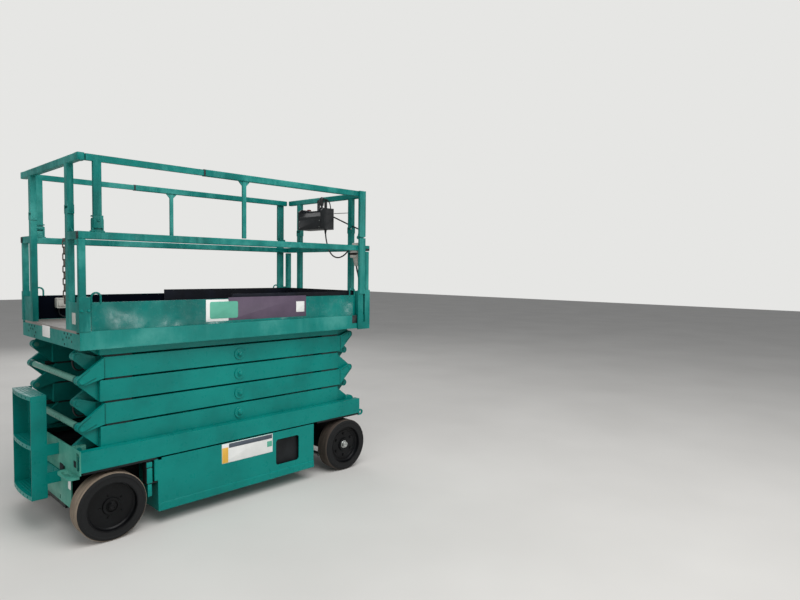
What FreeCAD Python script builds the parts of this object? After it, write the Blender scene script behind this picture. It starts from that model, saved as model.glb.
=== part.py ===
import FreeCAD, Part
import math
import os

V = FreeCAD.Vector

# Sizes in millimetres. X runs from the rear end of the platform to its front, Y to the left, Z up.

# Platform
PLATFORM_LENGTH = 2260.0
PLATFORM_HALF_WIDTH = 567.6
PLATFORM_BOTTOM = 1158.5
DECK_TOP = 1267.0
DECK_THICKNESS = 15.0
CHANNEL_WIDTH = 55.0
CHANNEL_WALL = 6.6
TOE_HEIGHT = 167.0
TOE_WALL = 4.0
TOE_REAR = 70.0
TOE_FRONT = PLATFORM_LENGTH - 136.0
TOE_INSET = 22.0
DECK_TRACK_Y = (PLATFORM_HALF_WIDTH - 167.6, PLATFORM_HALF_WIDTH - 127.6)
DECK_TRACK_HEIGHT = 4.7
# Each row: distance from the middle, height
END_BOLT_HOLES = (
    (300.0, 1240.0), (360.0, 1240.0), (420.0, 1240.0), (335.0, 1218.0),
    (385.0, 1218.0), (275.0, 1200.0), (430.0, 1200.0), (300.0, 1174.0))

# Guard rails
RAIL_HEIGHT = 45.0
RAIL_WIDTH = 30.0
RAIL_CORNER = 7.0
MID_RAIL_TOP = DECK_TOP + 578.0
TOP_RAIL_TOP = MID_RAIL_TOP + 445.0
THIN_RAIL_HEIGHT = 38.0
THIN_RAIL_WIDTH = 23.0
POST_WIDTH = 37.0
SIDE_FRAME_REAR = 46.0
SIDE_FRAME_TOE = 85.0
SLEEVE_REAR = 780.0
BALUSTER_X = 1062.0
BALUSTER_WIDTH = 28.0
FOLD_PIVOT_Y = PLATFORM_HALF_WIDTH - RAIL_WIDTH / 2
FOLD_PIVOT_Z = MID_RAIL_TOP + 65.0
END_PIVOT_Z = MID_RAIL_TOP + 127.0
END_PIVOT_RADIUS = 9.0
END_POST_Y = (PLATFORM_HALF_WIDTH - 227.6, PLATFORM_HALF_WIDTH - 182.6)
END_BAR_HALF = PLATFORM_HALF_WIDTH - 51.6
ENTRY_PLATE_INNER = END_POST_Y[0] - 6.0
END_CHEEK = 7.0
FOLD_EAR = 8.0
FOLD_EYE_RADIUS = 14.0
FOLD_PIN_RADIUS = 7.0
SLEEVE_FRONT = PLATFORM_LENGTH - 48.0
SLEEVE_GAP = 0.5

# Extension deck
EXTENSION_REAR = 997.0
EXTENSION_FRONT = PLATFORM_LENGTH - 2.0
EXTENSION_RISE = 31.0
EXTENSION_PLATE = 8.0
EXTENSION_HALF_WIDTH = PLATFORM_HALF_WIDTH - 39.6
FRONT_POST_X = (PLATFORM_LENGTH - 125.0, PLATFORM_LENGTH - 61.0)
FRONT_CORNER_X = (PLATFORM_LENGTH - 130.0, PLATFORM_LENGTH)
FRONT_END_POST_X = (EXTENSION_FRONT - POST_WIDTH, EXTENSION_FRONT)
CORNER_PLATE_WALL = 12.0
CORNER_SLOT_X = (PLATFORM_LENGTH - 75.0, PLATFORM_LENGTH - 55.0)
CORNER_SLOT_Z = (DECK_TOP - 57.0, DECK_TOP + 173.0)
POST_SLEEVE_X = (-4.0, 59.0)
POST_SLEEVE_WALL = 4.0
POST_SLEEVE_HEIGHT = 200.0
COLLAR_X = (78.0, 137.0)
COLLAR_Z = (FOLD_PIVOT_Z + 21.0, FOLD_PIVOT_Z + 29.0)
FOOT_PLATE_X = (70.0, 145.0)
FOOT_PLATE_THICKNESS = 6.0
GUSSET_REACH = 35.0
GUSSET_HEIGHT = 30.0
GUSSET_WALL = 8.0
HOOK_RING_X = (TOE_REAR + 28.0, TOE_FRONT - 31.0)
HOOK_RING_RADIUS = 26.0
HOOK_RING_BAR = 6.0
HOOK_RING_RISE = 30.0
BOLT_HOLE_RADIUS = 5.0
OUTLET_X = (196.0, 262.0)
OUTLET_Z = (DECK_TOP + 76.0, DECK_TOP + 148.0)
OUTLET_DEPTH = 46.0

# Entry chain, doubled on its eye plate at the rear right inner post
CHAIN_Y = (28.0 - END_POST_Y[0], 78.0 - END_POST_Y[0])
CHAIN_TOP = MID_RAIL_TOP - RAIL_HEIGHT
CHAIN_LINKS = 10
LINK_LENGTH = 50.0
LINK_WIDTH = 22.0
LINK_BAR = 6.0
LINK_SINK = 0.5
EYE_PLATE_WALL = 12.0
FRONT_OUTER = PLATFORM_HALF_WIDTH + 21.0
RUNNER_GAP = 0.3
SLIDE_GAP = 1.0

# Scissor stack
PIN_X_REAR = 29.0
PIN_X_FRONT = PLATFORM_LENGTH - 151.0
STAGES = 5
STAGE_RISE = 139.5
FIRST_PIN_Z = 549.5
ARM_DEPTH = 127.0
OUTER_ARM_Y = (PLATFORM_HALF_WIDTH - 127.6, PLATFORM_HALF_WIDTH - 67.6)
INNER_ARM_Y = (OUTER_ARM_Y[0] - 68.0, OUTER_ARM_Y[0] - 8.0)
LUG_SPLIT = 4.0
LUG_RADIUS = 27.0
PIN_RADIUS = 15.0
CENTRE_PIN_RADIUS = 20.0
CENTRE_BOSS_RADIUS = 40.0
CENTRE_BOSS_PROUD = 7.0
CROSS_TUBE_RADIUS = 20.0
PIN_FIT = 0.05
FULL_REACH = 600.0
LOW_END_TAPER = 128.0
HIGH_END_TAPER = 101.0
TOP_PIN_SHIFT = 12.0
TOP_PIN_DROP = 40.0
LOWER_ROLLER_RADIUS = 45.0
UPPER_ROLLER_RADIUS = 40.0
ROLLER_GAP = 0.3
PIN_HEAD = 4.0

# Lift cylinders
CYLINDER_BASE_X = PIN_X_FRONT - 390.0
CYLINDER_EYE_X = 322.0
CYLINDER_TUBE_RADIUS = 30.0
BARREL_RADIUS = 62.0
BARREL_LENGTH = 1130.0
BORE_START = 150.0
PISTON_GAP = 5.0
GLAND_PROUD = 5.0
ROD_RADIUS = 34.0
ROD_FIT = 0.1
EYE_RADIUS = 48.0
EYE_HALF_WIDTH = 45.0
EYE_SIDE_GAP = 5.0
EYE_LUG_WALL = 12.0
EYE_LUG_RADIUS = 30.0
EYE_PIN_RADIUS = 20.0
EYE_TUBE_AHEAD = 82.0
EYE_TUBE_ABOVE = 51.0
EYE_TUBE_RADIUS = 18.0
STIFFENER_X = 419.0
BARREL_HEAD = 45.0

# Chassis
RAIL_REAR = -2.0
RAIL_FRONT = PLATFORM_LENGTH - 99.0
RAIL_HALF_WIDTH = PLATFORM_HALF_WIDTH - 5.0
CHASSIS_RAIL_Z = (445.0, 565.0)
CHASSIS_RAIL_WIDTH = 57.6
CHASSIS_WALL = 7.0
TRACK_EDGE_Y = OUTER_ARM_Y[0] - 10.0
TRACK_PLATE = 9.0
SPINE_HALF_WIDTH = 250.0
SPINE_BOTTOM = 150.0
SPINE_WALL = 8.0
MODULE_FRONT = PLATFORM_LENGTH - 590.0
TOP_PLATE = 14.0
TOP_PLATE_REAR_END = 420.0
TOP_PLATE_FRONT_START = MODULE_FRONT + 50.0
BULKHEAD_HALF_WIDTH = 385.0
BULKHEAD_BOTTOM = 185.0
BULKHEAD_THICKNESS = 8.0
REAR_BEAM_TOP = 572.0
CABLE_HOLE_RADIUS = 22.0
CABLE_HOLE = (-215.0, 385.0)
DRAIN_SLOT_Y = (-192.0, -170.0)
DRAIN_SLOT_Z = (198.0, 222.0)
REAR_RING_Y = (RAIL_HALF_WIDTH - 237.6, RAIL_HALF_WIDTH - 27.6)
REAR_RING_Z = (405.0, 419.0)
REAR_RING_REACH = 65.0
REAR_RING_CORNER = 40.0
REAR_RING_SLOT = (110.0, 38.0)
TIE_LUG_X = RAIL_FRONT + 26.0
TIE_LUG_Y = (RAIL_HALF_WIDTH - 16.6, RAIL_HALF_WIDTH - 4.6)
TIE_LUG_Z = CHASSIS_RAIL_Z[0] + 2.0
TIE_LUG_RADIUS = 24.0
TIE_HOLE_RADIUS = 12.0
GUARD_PLATE_X = (374.0, 413.0)
GUARD_PLATE_Z = (284.0, 425.0)
GUARD_PLATE_WALL = 6.0

# Wheels
WHEEL_RADIUS = 205.0
WHEEL_WIDTH = 127.0
WHEEL_FACE = RAIL_HALF_WIDTH + 17.4
TYRE_SHOULDER = 14.0
TYRE_SEAT = 0.2
RIM_RADIUS = 150.0
RIM_DISH_DEPTH = 34.0
RIM_DISC = 12.0
HUB_RADIUS = 58.0
HUB_WALL = 16.0
HUB_PROUD = 10.0
HUB_SLOTS = 5
HUB_SLOT_TURN = 36.0
HUB_SLOT = (60.0, 78.0, 9.0)
WHEEL_BOLTS = 6
BOLT_CIRCLE = 88.0
BOLT_HEAD_RADIUS = 11.0
BOLT_HEAD_HEIGHT = 9.0
FRONT_RING_RADIUS = 112.0
SPINDLE_RADIUS = 25.0
WHEEL_X_REAR = 168.0
WHEEL_X_FRONT = PLATFORM_LENGTH - 250.0
KINGPIN_Y = WHEEL_FACE - 180.0
KINGPIN_RADIUS = 16.0
AXLE_HEIGHT = 110.0
AXLE_HALF_WIDTH = 34.0
KNUCKLE_PLATE = 14.0
KNUCKLE_GAP = 0.5
KNUCKLE_INSET = 6.0
KNUCKLE_WEB = 10.0
STEER_ARM_HALF_WIDTH = 18.0
STUB_HALF_LENGTH = 60.0
STUB_GAP = 12.0
STEER_ARM_REACH = 130.0
TIE_ROD_RADIUS = 13.0
TIE_EYE_HALF = 17.0
TIE_EYE_RADIUS = 20.0
TIE_EYE_GAP = 1.0
AXLE_BOX_HALF_LENGTH = 105.0
AXLE_BOX_OUTER = KINGPIN_Y - 60.0
AXLE_BOX_BOTTOM = 160.0

# Swing-out modules
MODULE_X = (452.0, MODULE_FRONT)
MODULE_Z = (94.0, 435.0)
MODULE_OUTER = RAIL_HALF_WIDTH - 0.6
MODULE_INNER = 266.0
MODULE_WALL = 6.0
MODULE_HINGE_X = 436.0
MODULE_HINGE_Y = MODULE_OUTER - 10.0
MODULE_EYE_RADIUS = 10.0
HINGE_PIN_RADIUS = 6.0
HINGE_BRACKET = 10.0
HINGE_Z = 293.0
HINGE_REACH = 46.0
HINGE_EDGE = 8.0
HINGE_SETBACK = 13.0
PANEL_LIP = 17.0
PANEL_NOTCH = (24.0, 12.0)
SKIRT_TOP = 146.0
SKIRT_PROUD = 5.0
VENT_X = (MODULE_FRONT - 333.0, MODULE_FRONT - 125.0)
VENT_Z = (186.0, 376.0)
VENT_CORNER = 22.0

# Ladder
LADDER_Y = (-200.0, 190.0)
LADDER_X = (-175.0, -75.0)
STEP_HEIGHTS = (250.0, 560.0, 860.0)
STEP_THICKNESS = 26.0
STRINGER_WALL = 6.0
STRINGER_BOTTOM = 236.0
STEP_BOW = 14.0
STEP_WALL = 4.0
STEP_HOLE_RADIUS = 7.0
STEP_HOLES = 5
GRIP_ROWS = 4
GRIP_HEIGHT = 2.0
GRIP_WIDTH = 5.0

# Control box
CONTROL_X = (PLATFORM_LENGTH - 190.0, PLATFORM_LENGTH - 50.0)
CONTROL_HALF_WIDTH = 165.0
CONTROL_Z = (TOP_RAIL_TOP - 298.0, TOP_RAIL_TOP - 115.0)
CONTROL_HOOK_Y = 60.0
CONTROL_CHEEK = 14.0
CONTROL_CHEEK_RISE = 22.0
CONTROL_SLOPE = (45.0, 50.0)
JOYSTICK_Y = -60.0

# The part's origin is on the floor below the middle of its length.
ORIGIN_X = (LADDER_X[0] + PLATFORM_LENGTH) / 2


def block(x, y, z):
    """Box between a low and a high value on each axis."""
    return Part.makeBox(x[1] - x[0], y[1] - y[0], z[1] - z[0], V(x[0], y[0], z[0]))


def bar_x(y, z, radius, ends):
    return Part.makeCylinder(radius, ends[1] - ends[0], V(ends[0], y, z), V(1, 0, 0))


def bar_y(x, z, radius, ends):
    return Part.makeCylinder(radius, ends[1] - ends[0], V(x, ends[0], z), V(0, 1, 0))


def bar_z(x, y, radius, ends):
    return Part.makeCylinder(radius, ends[1] - ends[0], V(x, y, ends[0]), V(0, 0, 1))


def face_of(points):
    return Part.Face(Part.makePolygon(points + [points[0]]))


def plate_y(outline, ends):
    """Plate whose outline is (x, z) points, between two Y planes."""
    points = [V(x, ends[0], z) for x, z in outline]
    return face_of(points).extrude(V(0, ends[1] - ends[0], 0))


def plate_x(outline, ends):
    """Plate whose outline is (y, z) points, between two X planes."""
    points = [V(ends[0], y, z) for y, z in outline]
    return face_of(points).extrude(V(ends[1] - ends[0], 0, 0))


def soften(shape, axis, radius):
    """Rounds the edges that run along one axis."""
    edges = [e for e in shape.Edges if abs(e.tangentAt(e.FirstParameter).dot(axis)) > 0.999]
    return shape.makeFillet(radius, edges)


def mirrored(shape):
    return shape.mirror(V(0, 0, 0), V(0, 1, 0))


def pair(shape):
    return [shape, mirrored(shape)]


def side(shape, sign):
    """Left piece as it is for sign 1, and its mirror image for sign -1."""
    return shape if sign > 0 else mirrored(shape)


def join(pieces):
    """One solid from pieces that overlap or share faces."""
    shape = pieces[0]
    if len(pieces) > 1:
        shape = shape.multiFuse(pieces[1:])
    return shape.removeSplitter()


parts = {}


def keep(name, pieces):
    """Moves a sub-part from the platform's rear end to the part's origin and keeps it."""
    shape = pieces[0].copy() if len(pieces) == 1 else Part.makeCompound(pieces)
    shape.translate(V(-ORIGIN_X, 0, 0))
    parts[name] = shape


# Scissor stack: heights of the pins and of the bars

def level_z(level):
    return FIRST_PIN_Z + level * STAGE_RISE


def bar_z_centre(stage):
    return level_z(stage) - STAGE_RISE / 2


CENTRE_X = (PIN_X_REAR + PIN_X_FRONT) / 2
TOP_PIN_Z = level_z(STAGES) - TOP_PIN_DROP


def half_layer(layer, outer):
    """Half of an arm's thickness, where two arms share a pin."""
    middle = (layer[0] + layer[1]) / 2
    if outer:
        return (middle + LUG_SPLIT / 2, layer[1])
    return (layer[0], middle - LUG_SPLIT / 2)


def arm_end(pin, start_x, centre_z, ends):
    """Tapered plate from the end of a bar to the round lug at its pin."""
    low, high = centre_z - ARM_DEPTH / 2, centre_z + ARM_DEPTH / 2
    towards = 1 if start_x > pin[0] else -1
    lug = bar_y(pin[0], pin[1], LUG_RADIUS, ends)
    outline = []
    for corner_z, turn in ((high, 1), (low, -1)):
        dx, dz = start_x - pin[0], corner_z - pin[1]
        reach = math.hypot(dx, dz)
        lean = math.atan2(dz, dx) + turn * towards * math.acos(LUG_RADIUS / reach)
        touch = (pin[0] + LUG_RADIUS * math.cos(lean), pin[1] + LUG_RADIUS * math.sin(lean))
        pieces = [(start_x, corner_z), touch]
        outline += pieces if turn > 0 else pieces[::-1]
    return join([plate_y(outline, ends), lug])


def arm(stage, layer, rear_pin, front_pin, rear_low, outer_lugs):
    """One arm: a straight bar with a tapered plate and lug at each end, and its centre boss."""
    centre_z = bar_z_centre(stage)
    rear_x = PIN_X_REAR + (LOW_END_TAPER if rear_low else HIGH_END_TAPER)
    front_x = PIN_X_FRONT - (HIGH_END_TAPER if rear_low else LOW_END_TAPER)
    lug_y = half_layer(layer, outer_lugs)
    bar = block((rear_x, front_x), layer, (centre_z - ARM_DEPTH / 2, centre_z + ARM_DEPTH / 2))
    return join([
        bar,
        arm_end(rear_pin, rear_x, centre_z, lug_y),
        arm_end(front_pin, front_x, centre_z, lug_y),
    ])


def drilled(shape, x, z, radius, ends):
    return shape.cut(bar_y(x, z, radius + PIN_FIT, ends))


def cross_tube(x, z, tube_half, pin_end, radius=CROSS_TUBE_RADIUS):
    """Tube between the two arms of a pair, with a thinner pin out of each end."""
    return [
        bar_y(x, z, radius, (-tube_half, tube_half)),
        bar_y(x, z, PIN_RADIUS, (-pin_end, pin_end)),
    ]


def pin_stub(x, z, radius, ends):
    return [bar_y(x, z, radius, ends), bar_y(x, z, radius, (-ends[1], -ends[0]))]


def scissor_arms():
    outer_tube = OUTER_ARM_Y[0] - PIN_HEAD
    outer_pin = OUTER_ARM_Y[1] + PIN_HEAD
    inner_tube = INNER_ARM_Y[0] - PIN_HEAD
    inner_pin = INNER_ARM_Y[1] + PIN_HEAD
    boss_end = OUTER_ARM_Y[1] + CENTRE_BOSS_PROUD
    through = (0.0, boss_end + PIN_HEAD)
    for stage in range(1, STAGES + 1):
        odd = stage % 2 == 1
        low_z, high_z = level_z(stage - 1), level_z(stage)
        rear_high = (PIN_X_REAR, high_z)
        front_high = (PIN_X_FRONT, high_z)
        if stage == STAGES:
            rear_high = (PIN_X_REAR + TOP_PIN_SHIFT, TOP_PIN_Z)
            front_high = (PIN_X_FRONT - TOP_PIN_SHIFT, TOP_PIN_Z)
        rear_low, front_low = (PIN_X_REAR, low_z), (PIN_X_FRONT, low_z)
        centre = (CENTRE_X, bar_z_centre(stage))

        # Outer pair: odd stages slope down to the front, even ones up
        outer_rear = rear_high if odd else rear_low
        outer_front = front_low if odd else front_high
        outer = arm(stage, OUTER_ARM_Y, outer_rear, outer_front, not odd, not odd)
        boss = bar_y(centre[0], centre[1], CENTRE_BOSS_RADIUS, (OUTER_ARM_Y[1] - 1, boss_end))
        outer = drilled(outer.fuse(boss), centre[0], centre[1], CENTRE_PIN_RADIUS, through)
        if stage > 1:
            # An odd outer pair turns on the pins of the pair below at its front end, an even one
            # at its rear end.
            below = outer_front if odd else outer_rear
            outer = drilled(outer, below[0], below[1], PIN_RADIUS, through)
        pieces = pair(outer)
        if stage == 1:
            pieces += cross_tube(outer_front[0], outer_front[1], outer_tube, outer_pin)
            roller_y = half_layer(OUTER_ARM_Y, True)
            pieces += pin_stub(outer_front[0], outer_front[1], LOWER_ROLLER_RADIUS, roller_y)
        above = outer_rear if odd else outer_front
        pieces += cross_tube(above[0], above[1], outer_tube, outer_pin)
        keep("outer_arms_%d" % stage, [join(pieces)])

        # Inner pair: odd stages slope up to the front, even ones down
        inner_rear = rear_low if odd else rear_high
        inner_front = front_high if odd else front_low
        inner = arm(stage, INNER_ARM_Y, inner_rear, inner_front, odd, not odd)
        if stage > 1:
            below = inner_rear if odd else inner_front
            inner = drilled(inner, below[0], below[1], PIN_RADIUS, through)
        pieces = pair(inner)
        pieces += pin_stub(centre[0], centre[1], CENTRE_PIN_RADIUS, (INNER_ARM_Y[0] + 1, boss_end))
        above = inner_front if odd else inner_rear
        if stage == 1:
            pieces += pin_stub(inner_rear[0], inner_rear[1], PIN_RADIUS, (INNER_ARM_Y[0], inner_pin))
        if stage == STAGES:
            roller_y = half_layer(INNER_ARM_Y, True)
            pieces += cross_tube(above[0], above[1], inner_tube, inner_pin)
            pieces += pin_stub(above[0], above[1], UPPER_ROLLER_RADIUS, roller_y)
        elif odd:
            pieces += cross_tube(above[0], above[1], inner_tube, inner_pin)
        else:
            pieces += pin_stub(above[0], above[1], PIN_RADIUS, (inner_tube, inner_pin))
        grip = (-INNER_ARM_Y[0] - 1, INNER_ARM_Y[0] + 1)
        if stage == 1:
            pieces.append(bar_y(STIFFENER_X, centre[1], CYLINDER_TUBE_RADIUS, grip))
        elif odd:
            pieces += rod_eye_mount(centre[1], grip)
        else:
            pieces.append(bar_y(CYLINDER_BASE_X, centre[1], CYLINDER_TUBE_RADIUS, grip))
        keep("inner_arms_%d" % stage, [join(pieces)])


def rod_eye_mount(centre_z, grip):
    """Cross tube beside the rod's eye, with two lug plates that reach round the eye's pin."""
    tube_x, tube_z = CYLINDER_EYE_X + EYE_TUBE_AHEAD, centre_z + EYE_TUBE_ABOVE
    pieces = [bar_y(tube_x, tube_z, EYE_TUBE_RADIUS, grip)]
    lean = math.atan2(EYE_TUBE_ABOVE, EYE_TUBE_AHEAD)
    out_x, out_z = -math.sin(lean) * EYE_TUBE_RADIUS, math.cos(lean) * EYE_TUBE_RADIUS
    outline = [
        (CYLINDER_EYE_X + out_x, centre_z + out_z), (tube_x + out_x, tube_z + out_z),
        (tube_x - out_x, tube_z - out_z), (CYLINDER_EYE_X - out_x, centre_z - out_z),
    ]
    lug_y = (EYE_HALF_WIDTH + EYE_SIDE_GAP, EYE_HALF_WIDTH + EYE_SIDE_GAP + EYE_LUG_WALL)
    pieces += pair(join([
        plate_y(outline, lug_y),
        bar_y(CYLINDER_EYE_X, centre_z, EYE_LUG_RADIUS, lug_y),
        bar_y(CYLINDER_EYE_X, centre_z, EYE_PIN_RADIUS, (lug_y[1] - 1, lug_y[1] + PIN_HEAD)),
    ]))
    return pieces


def lift_cylinder(name, base_stage):
    """Barrel hinged on the pair below, rod with its eye on the pair above."""
    base = V(CYLINDER_BASE_X, 0, bar_z_centre(base_stage))
    eye = V(CYLINDER_EYE_X, 0, bar_z_centre(base_stage + 1))
    along = (eye - base).normalize()
    eye_y = (-EYE_HALF_WIDTH, EYE_HALF_WIDTH)
    span = eye.distanceToPoint(base)
    rod_start = BORE_START + PISTON_GAP

    barrel = Part.makeCylinder(BARREL_RADIUS, BARREL_LENGTH, base, along)
    head = Part.makeCylinder(
        BARREL_RADIUS + GLAND_PROUD, BARREL_HEAD, base + along * (BARREL_LENGTH - BARREL_HEAD), along)
    foot = bar_y(base.x, base.z, EYE_RADIUS, eye_y)
    barrel = join([barrel, head, foot])
    barrel = drilled(barrel, base.x, base.z, CYLINDER_TUBE_RADIUS, (-BARREL_RADIUS - 8, BARREL_RADIUS + 8))
    bore = Part.makeCylinder(ROD_RADIUS + ROD_FIT, BARREL_LENGTH, base + along * BORE_START, along)
    keep("cylinder_barrel_" + name, [barrel.cut(bore)])

    rod = Part.makeCylinder(ROD_RADIUS, span - rod_start, base + along * rod_start, along)
    keep("cylinder_rod_" + name, [join([rod, bar_y(eye.x, eye.z, EYE_RADIUS, eye_y)])])


def chassis():
    low, high = CHASSIS_RAIL_Z
    inner = RAIL_HALF_WIDTH - CHASSIS_RAIL_WIDTH
    track_top = FIRST_PIN_Z - LOWER_ROLLER_RADIUS - ROLLER_GAP
    wall = CHASSIS_WALL
    section = [
        (RAIL_HALF_WIDTH, low), (RAIL_HALF_WIDTH, high), (inner, high), (inner, high - wall),
        (RAIL_HALF_WIDTH - wall, high - wall), (RAIL_HALF_WIDTH - wall, low + wall),
        (inner + wall, low + wall), (inner + wall, track_top), (TRACK_EDGE_Y, track_top),
        (TRACK_EDGE_Y, track_top - TRACK_PLATE), (inner, track_top - TRACK_PLATE), (inner, low),
    ]
    # Tie-down lug on the front end of each rail
    lug = join([
        block((RAIL_FRONT, TIE_LUG_X), TIE_LUG_Y, (TIE_LUG_Z - TIE_LUG_RADIUS, TIE_LUG_Z + TIE_LUG_RADIUS)),
        bar_y(TIE_LUG_X, TIE_LUG_Z, TIE_LUG_RADIUS, TIE_LUG_Y),
        block((RAIL_FRONT, RAIL_FRONT + wall), (inner, RAIL_HALF_WIDTH), (low, high)),
    ])
    lug = lug.cut(bar_y(TIE_LUG_X, TIE_LUG_Z, TIE_HOLE_RADIUS, (TIE_LUG_Y[0] - 1, TIE_LUG_Y[1] + 1)))
    rail = plate_x(section, (RAIL_REAR, RAIL_FRONT))
    keep("chassis_rails", pair(join([rail, lug])))

    # Spine between the modules, open at the top, with a plate over each pair of wheels
    spine_x = (RAIL_REAR + BULKHEAD_THICKNESS, RAIL_FRONT)
    shell = block(spine_x, (-SPINE_HALF_WIDTH, SPINE_HALF_WIDTH), (SPINE_BOTTOM, low))
    hollow_y = SPINE_HALF_WIDTH - SPINE_WALL
    hollow = block(
        (spine_x[0] + SPINE_WALL, spine_x[1] - SPINE_WALL), (-hollow_y, hollow_y),
        (SPINE_BOTTOM + SPINE_WALL, low + 1))
    plates = [
        block((spine_x[0], TOP_PLATE_REAR_END), (-RAIL_HALF_WIDTH, RAIL_HALF_WIDTH), (low - TOP_PLATE, low)),
        block((TOP_PLATE_FRONT_START, RAIL_FRONT), (-RAIL_HALF_WIDTH, RAIL_HALF_WIDTH), (low - TOP_PLATE, low)),
    ]
    # Hinge bracket and pin of each module, below the plate over the rear wheels
    bracket_x = (MODULE_HINGE_X - HINGE_REACH, MODULE_HINGE_X + HINGE_EDGE)
    bracket_y = (MODULE_HINGE_Y - HINGE_REACH, MODULE_HINGE_Y + HINGE_EDGE)
    bracket_z = (HINGE_Z - HINGE_BRACKET, HINGE_Z)
    hinges = []
    for piece in (
            block(bracket_x, bracket_y, bracket_z),
            block((bracket_x[0], bracket_x[0] + SPINE_WALL), bracket_y, (bracket_z[0], low - TOP_PLATE + 1)),
            block(bracket_x, bracket_y, (low - TOP_PLATE, low)),
            bar_z(MODULE_HINGE_X, MODULE_HINGE_Y, HINGE_PIN_RADIUS, (bracket_z[0], low - 1))):
        hinges += pair(piece)
    # Plate between the rear wheel and the module
    guard_y = (bracket_y[1] - GUARD_PLATE_WALL, bracket_y[1])
    hinges += pair(block(GUARD_PLATE_X, guard_y, GUARD_PLATE_Z))
    hinges += pair(block(
        (GUARD_PLATE_X[0], GUARD_PLATE_X[0] + GUARD_PLATE_WALL), (bracket_y[0], bracket_y[1]),
        (GUARD_PLATE_Z[0], low - TOP_PLATE + 1)))
    keep("chassis_spine", [join([shell.cut(hollow)] + plates + hinges)])

    # Rear bulkhead with the cross beam and the plates that hold the lower scissor pins
    plate = block(
        (RAIL_REAR, RAIL_REAR + BULKHEAD_THICKNESS),
        (-BULKHEAD_HALF_WIDTH, BULKHEAD_HALF_WIDTH), (BULKHEAD_BOTTOM, low))
    beam_x = (RAIL_REAR - BULKHEAD_THICKNESS, RAIL_REAR)
    beam = block(beam_x, (-RAIL_HALF_WIDTH, RAIL_HALF_WIDTH), (low - TOP_PLATE, REAR_BEAM_TOP))
    open_end = block(beam_x, (inner + wall, RAIL_HALF_WIDTH - wall), (low + wall, high - wall))
    for gap in pair(open_end):
        beam = beam.cut(gap)
    bracket_y = (INNER_ARM_Y[0] + (INNER_ARM_Y[1] - INNER_ARM_Y[0]) / 2, TRACK_EDGE_Y)
    bracket_x = (RAIL_REAR, PIN_X_REAR + LUG_RADIUS + 14)
    bracket = block(bracket_x, bracket_y, (low, REAR_BEAM_TOP))
    bracket = drilled(bracket, PIN_X_REAR, FIRST_PIN_Z, PIN_RADIUS, (0, RAIL_HALF_WIDTH))
    # Level plates with an oval opening, for the tie-down hooks
    ring_x = (RAIL_REAR - REAR_RING_REACH, RAIL_REAR - BULKHEAD_THICKNESS)
    ring = block(ring_x, REAR_RING_Y, REAR_RING_Z)
    corners = [
        e for e in ring.Edges
        if e.BoundBox.ZLength > 1 and abs(e.BoundBox.XMin - ring_x[0]) < 1]
    ring = ring.makeFillet(REAR_RING_CORNER, corners)
    slot_x = (ring_x[0] + ring_x[1]) / 2 - REAR_RING_SLOT[1] / 2
    slot_y = (REAR_RING_Y[0] + REAR_RING_Y[1]) / 2 - REAR_RING_SLOT[0] / 2
    opening = block(
        (slot_x, slot_x + REAR_RING_SLOT[1]), (slot_y, slot_y + REAR_RING_SLOT[0]),
        (REAR_RING_Z[0] - 1, REAR_RING_Z[1] + 1))
    opening = soften(opening, Z_AXIS, REAR_RING_SLOT[1] / 2 - 0.5)
    ring = ring.cut(opening)
    seat = block((RAIL_REAR - BULKHEAD_THICKNESS, RAIL_REAR), REAR_RING_Y, (REAR_RING_Z[0], low))
    through = (RAIL_REAR - 1, RAIL_REAR + BULKHEAD_THICKNESS + 1)
    plate = plate.cut(bar_x(CABLE_HOLE[0], CABLE_HOLE[1], CABLE_HOLE_RADIUS, through))
    plate = plate.cut(block(through, DRAIN_SLOT_Y, DRAIN_SLOT_Z))
    keep("rear_bulkhead", [join([plate, beam] + pair(bracket) + pair(ring) + pair(seat))])


def axles():
    # Rear stubs carry the wheels on fixed spindles, front arms end in the kingpin eyes
    stubs, arms = [], []
    axle_z = (WHEEL_RADIUS - AXLE_HEIGHT / 2, WHEEL_RADIUS + AXLE_HEIGHT / 2)
    spindle_end = WHEEL_FACE - RIM_DISH_DEPTH
    wheel_inner = WHEEL_FACE - WHEEL_WIDTH
    for sign in (1, -1):
        stub = join([
            block(
                (WHEEL_X_REAR - STUB_HALF_LENGTH, WHEEL_X_REAR + STUB_HALF_LENGTH),
                (SPINE_HALF_WIDTH, wheel_inner - STUB_GAP), axle_z),
            bar_y(WHEEL_X_REAR, WHEEL_RADIUS, SPINDLE_RADIUS, (SPINE_HALF_WIDTH, spindle_end)),
        ])
        stubs.append(side(stub, sign))
        reach = (SPINE_HALF_WIDTH, KINGPIN_Y)
        axle_x = (WHEEL_X_FRONT - AXLE_HALF_WIDTH, WHEEL_X_FRONT + AXLE_HALF_WIDTH)
        box_x = (WHEEL_X_FRONT - AXLE_BOX_HALF_LENGTH, WHEEL_X_FRONT + AXLE_BOX_HALF_LENGTH)
        box_z = (AXLE_BOX_BOTTOM, CHASSIS_RAIL_Z[0] - TOP_PLATE)
        arm_piece = join([
            block(axle_x, reach, axle_z),
            bar_z(WHEEL_X_FRONT, KINGPIN_Y, AXLE_HALF_WIDTH, axle_z),
            block(box_x, (SPINE_HALF_WIDTH, AXLE_BOX_OUTER), box_z),
        ])
        arm_piece = arm_piece.cut(bar_z(WHEEL_X_FRONT, KINGPIN_Y, KINGPIN_RADIUS + PIN_FIT, (0, FULL_REACH)))
        arms.append(side(arm_piece, sign))
    keep("rear_axle_stubs", stubs)
    keep("front_axle_arms", arms)


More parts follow.
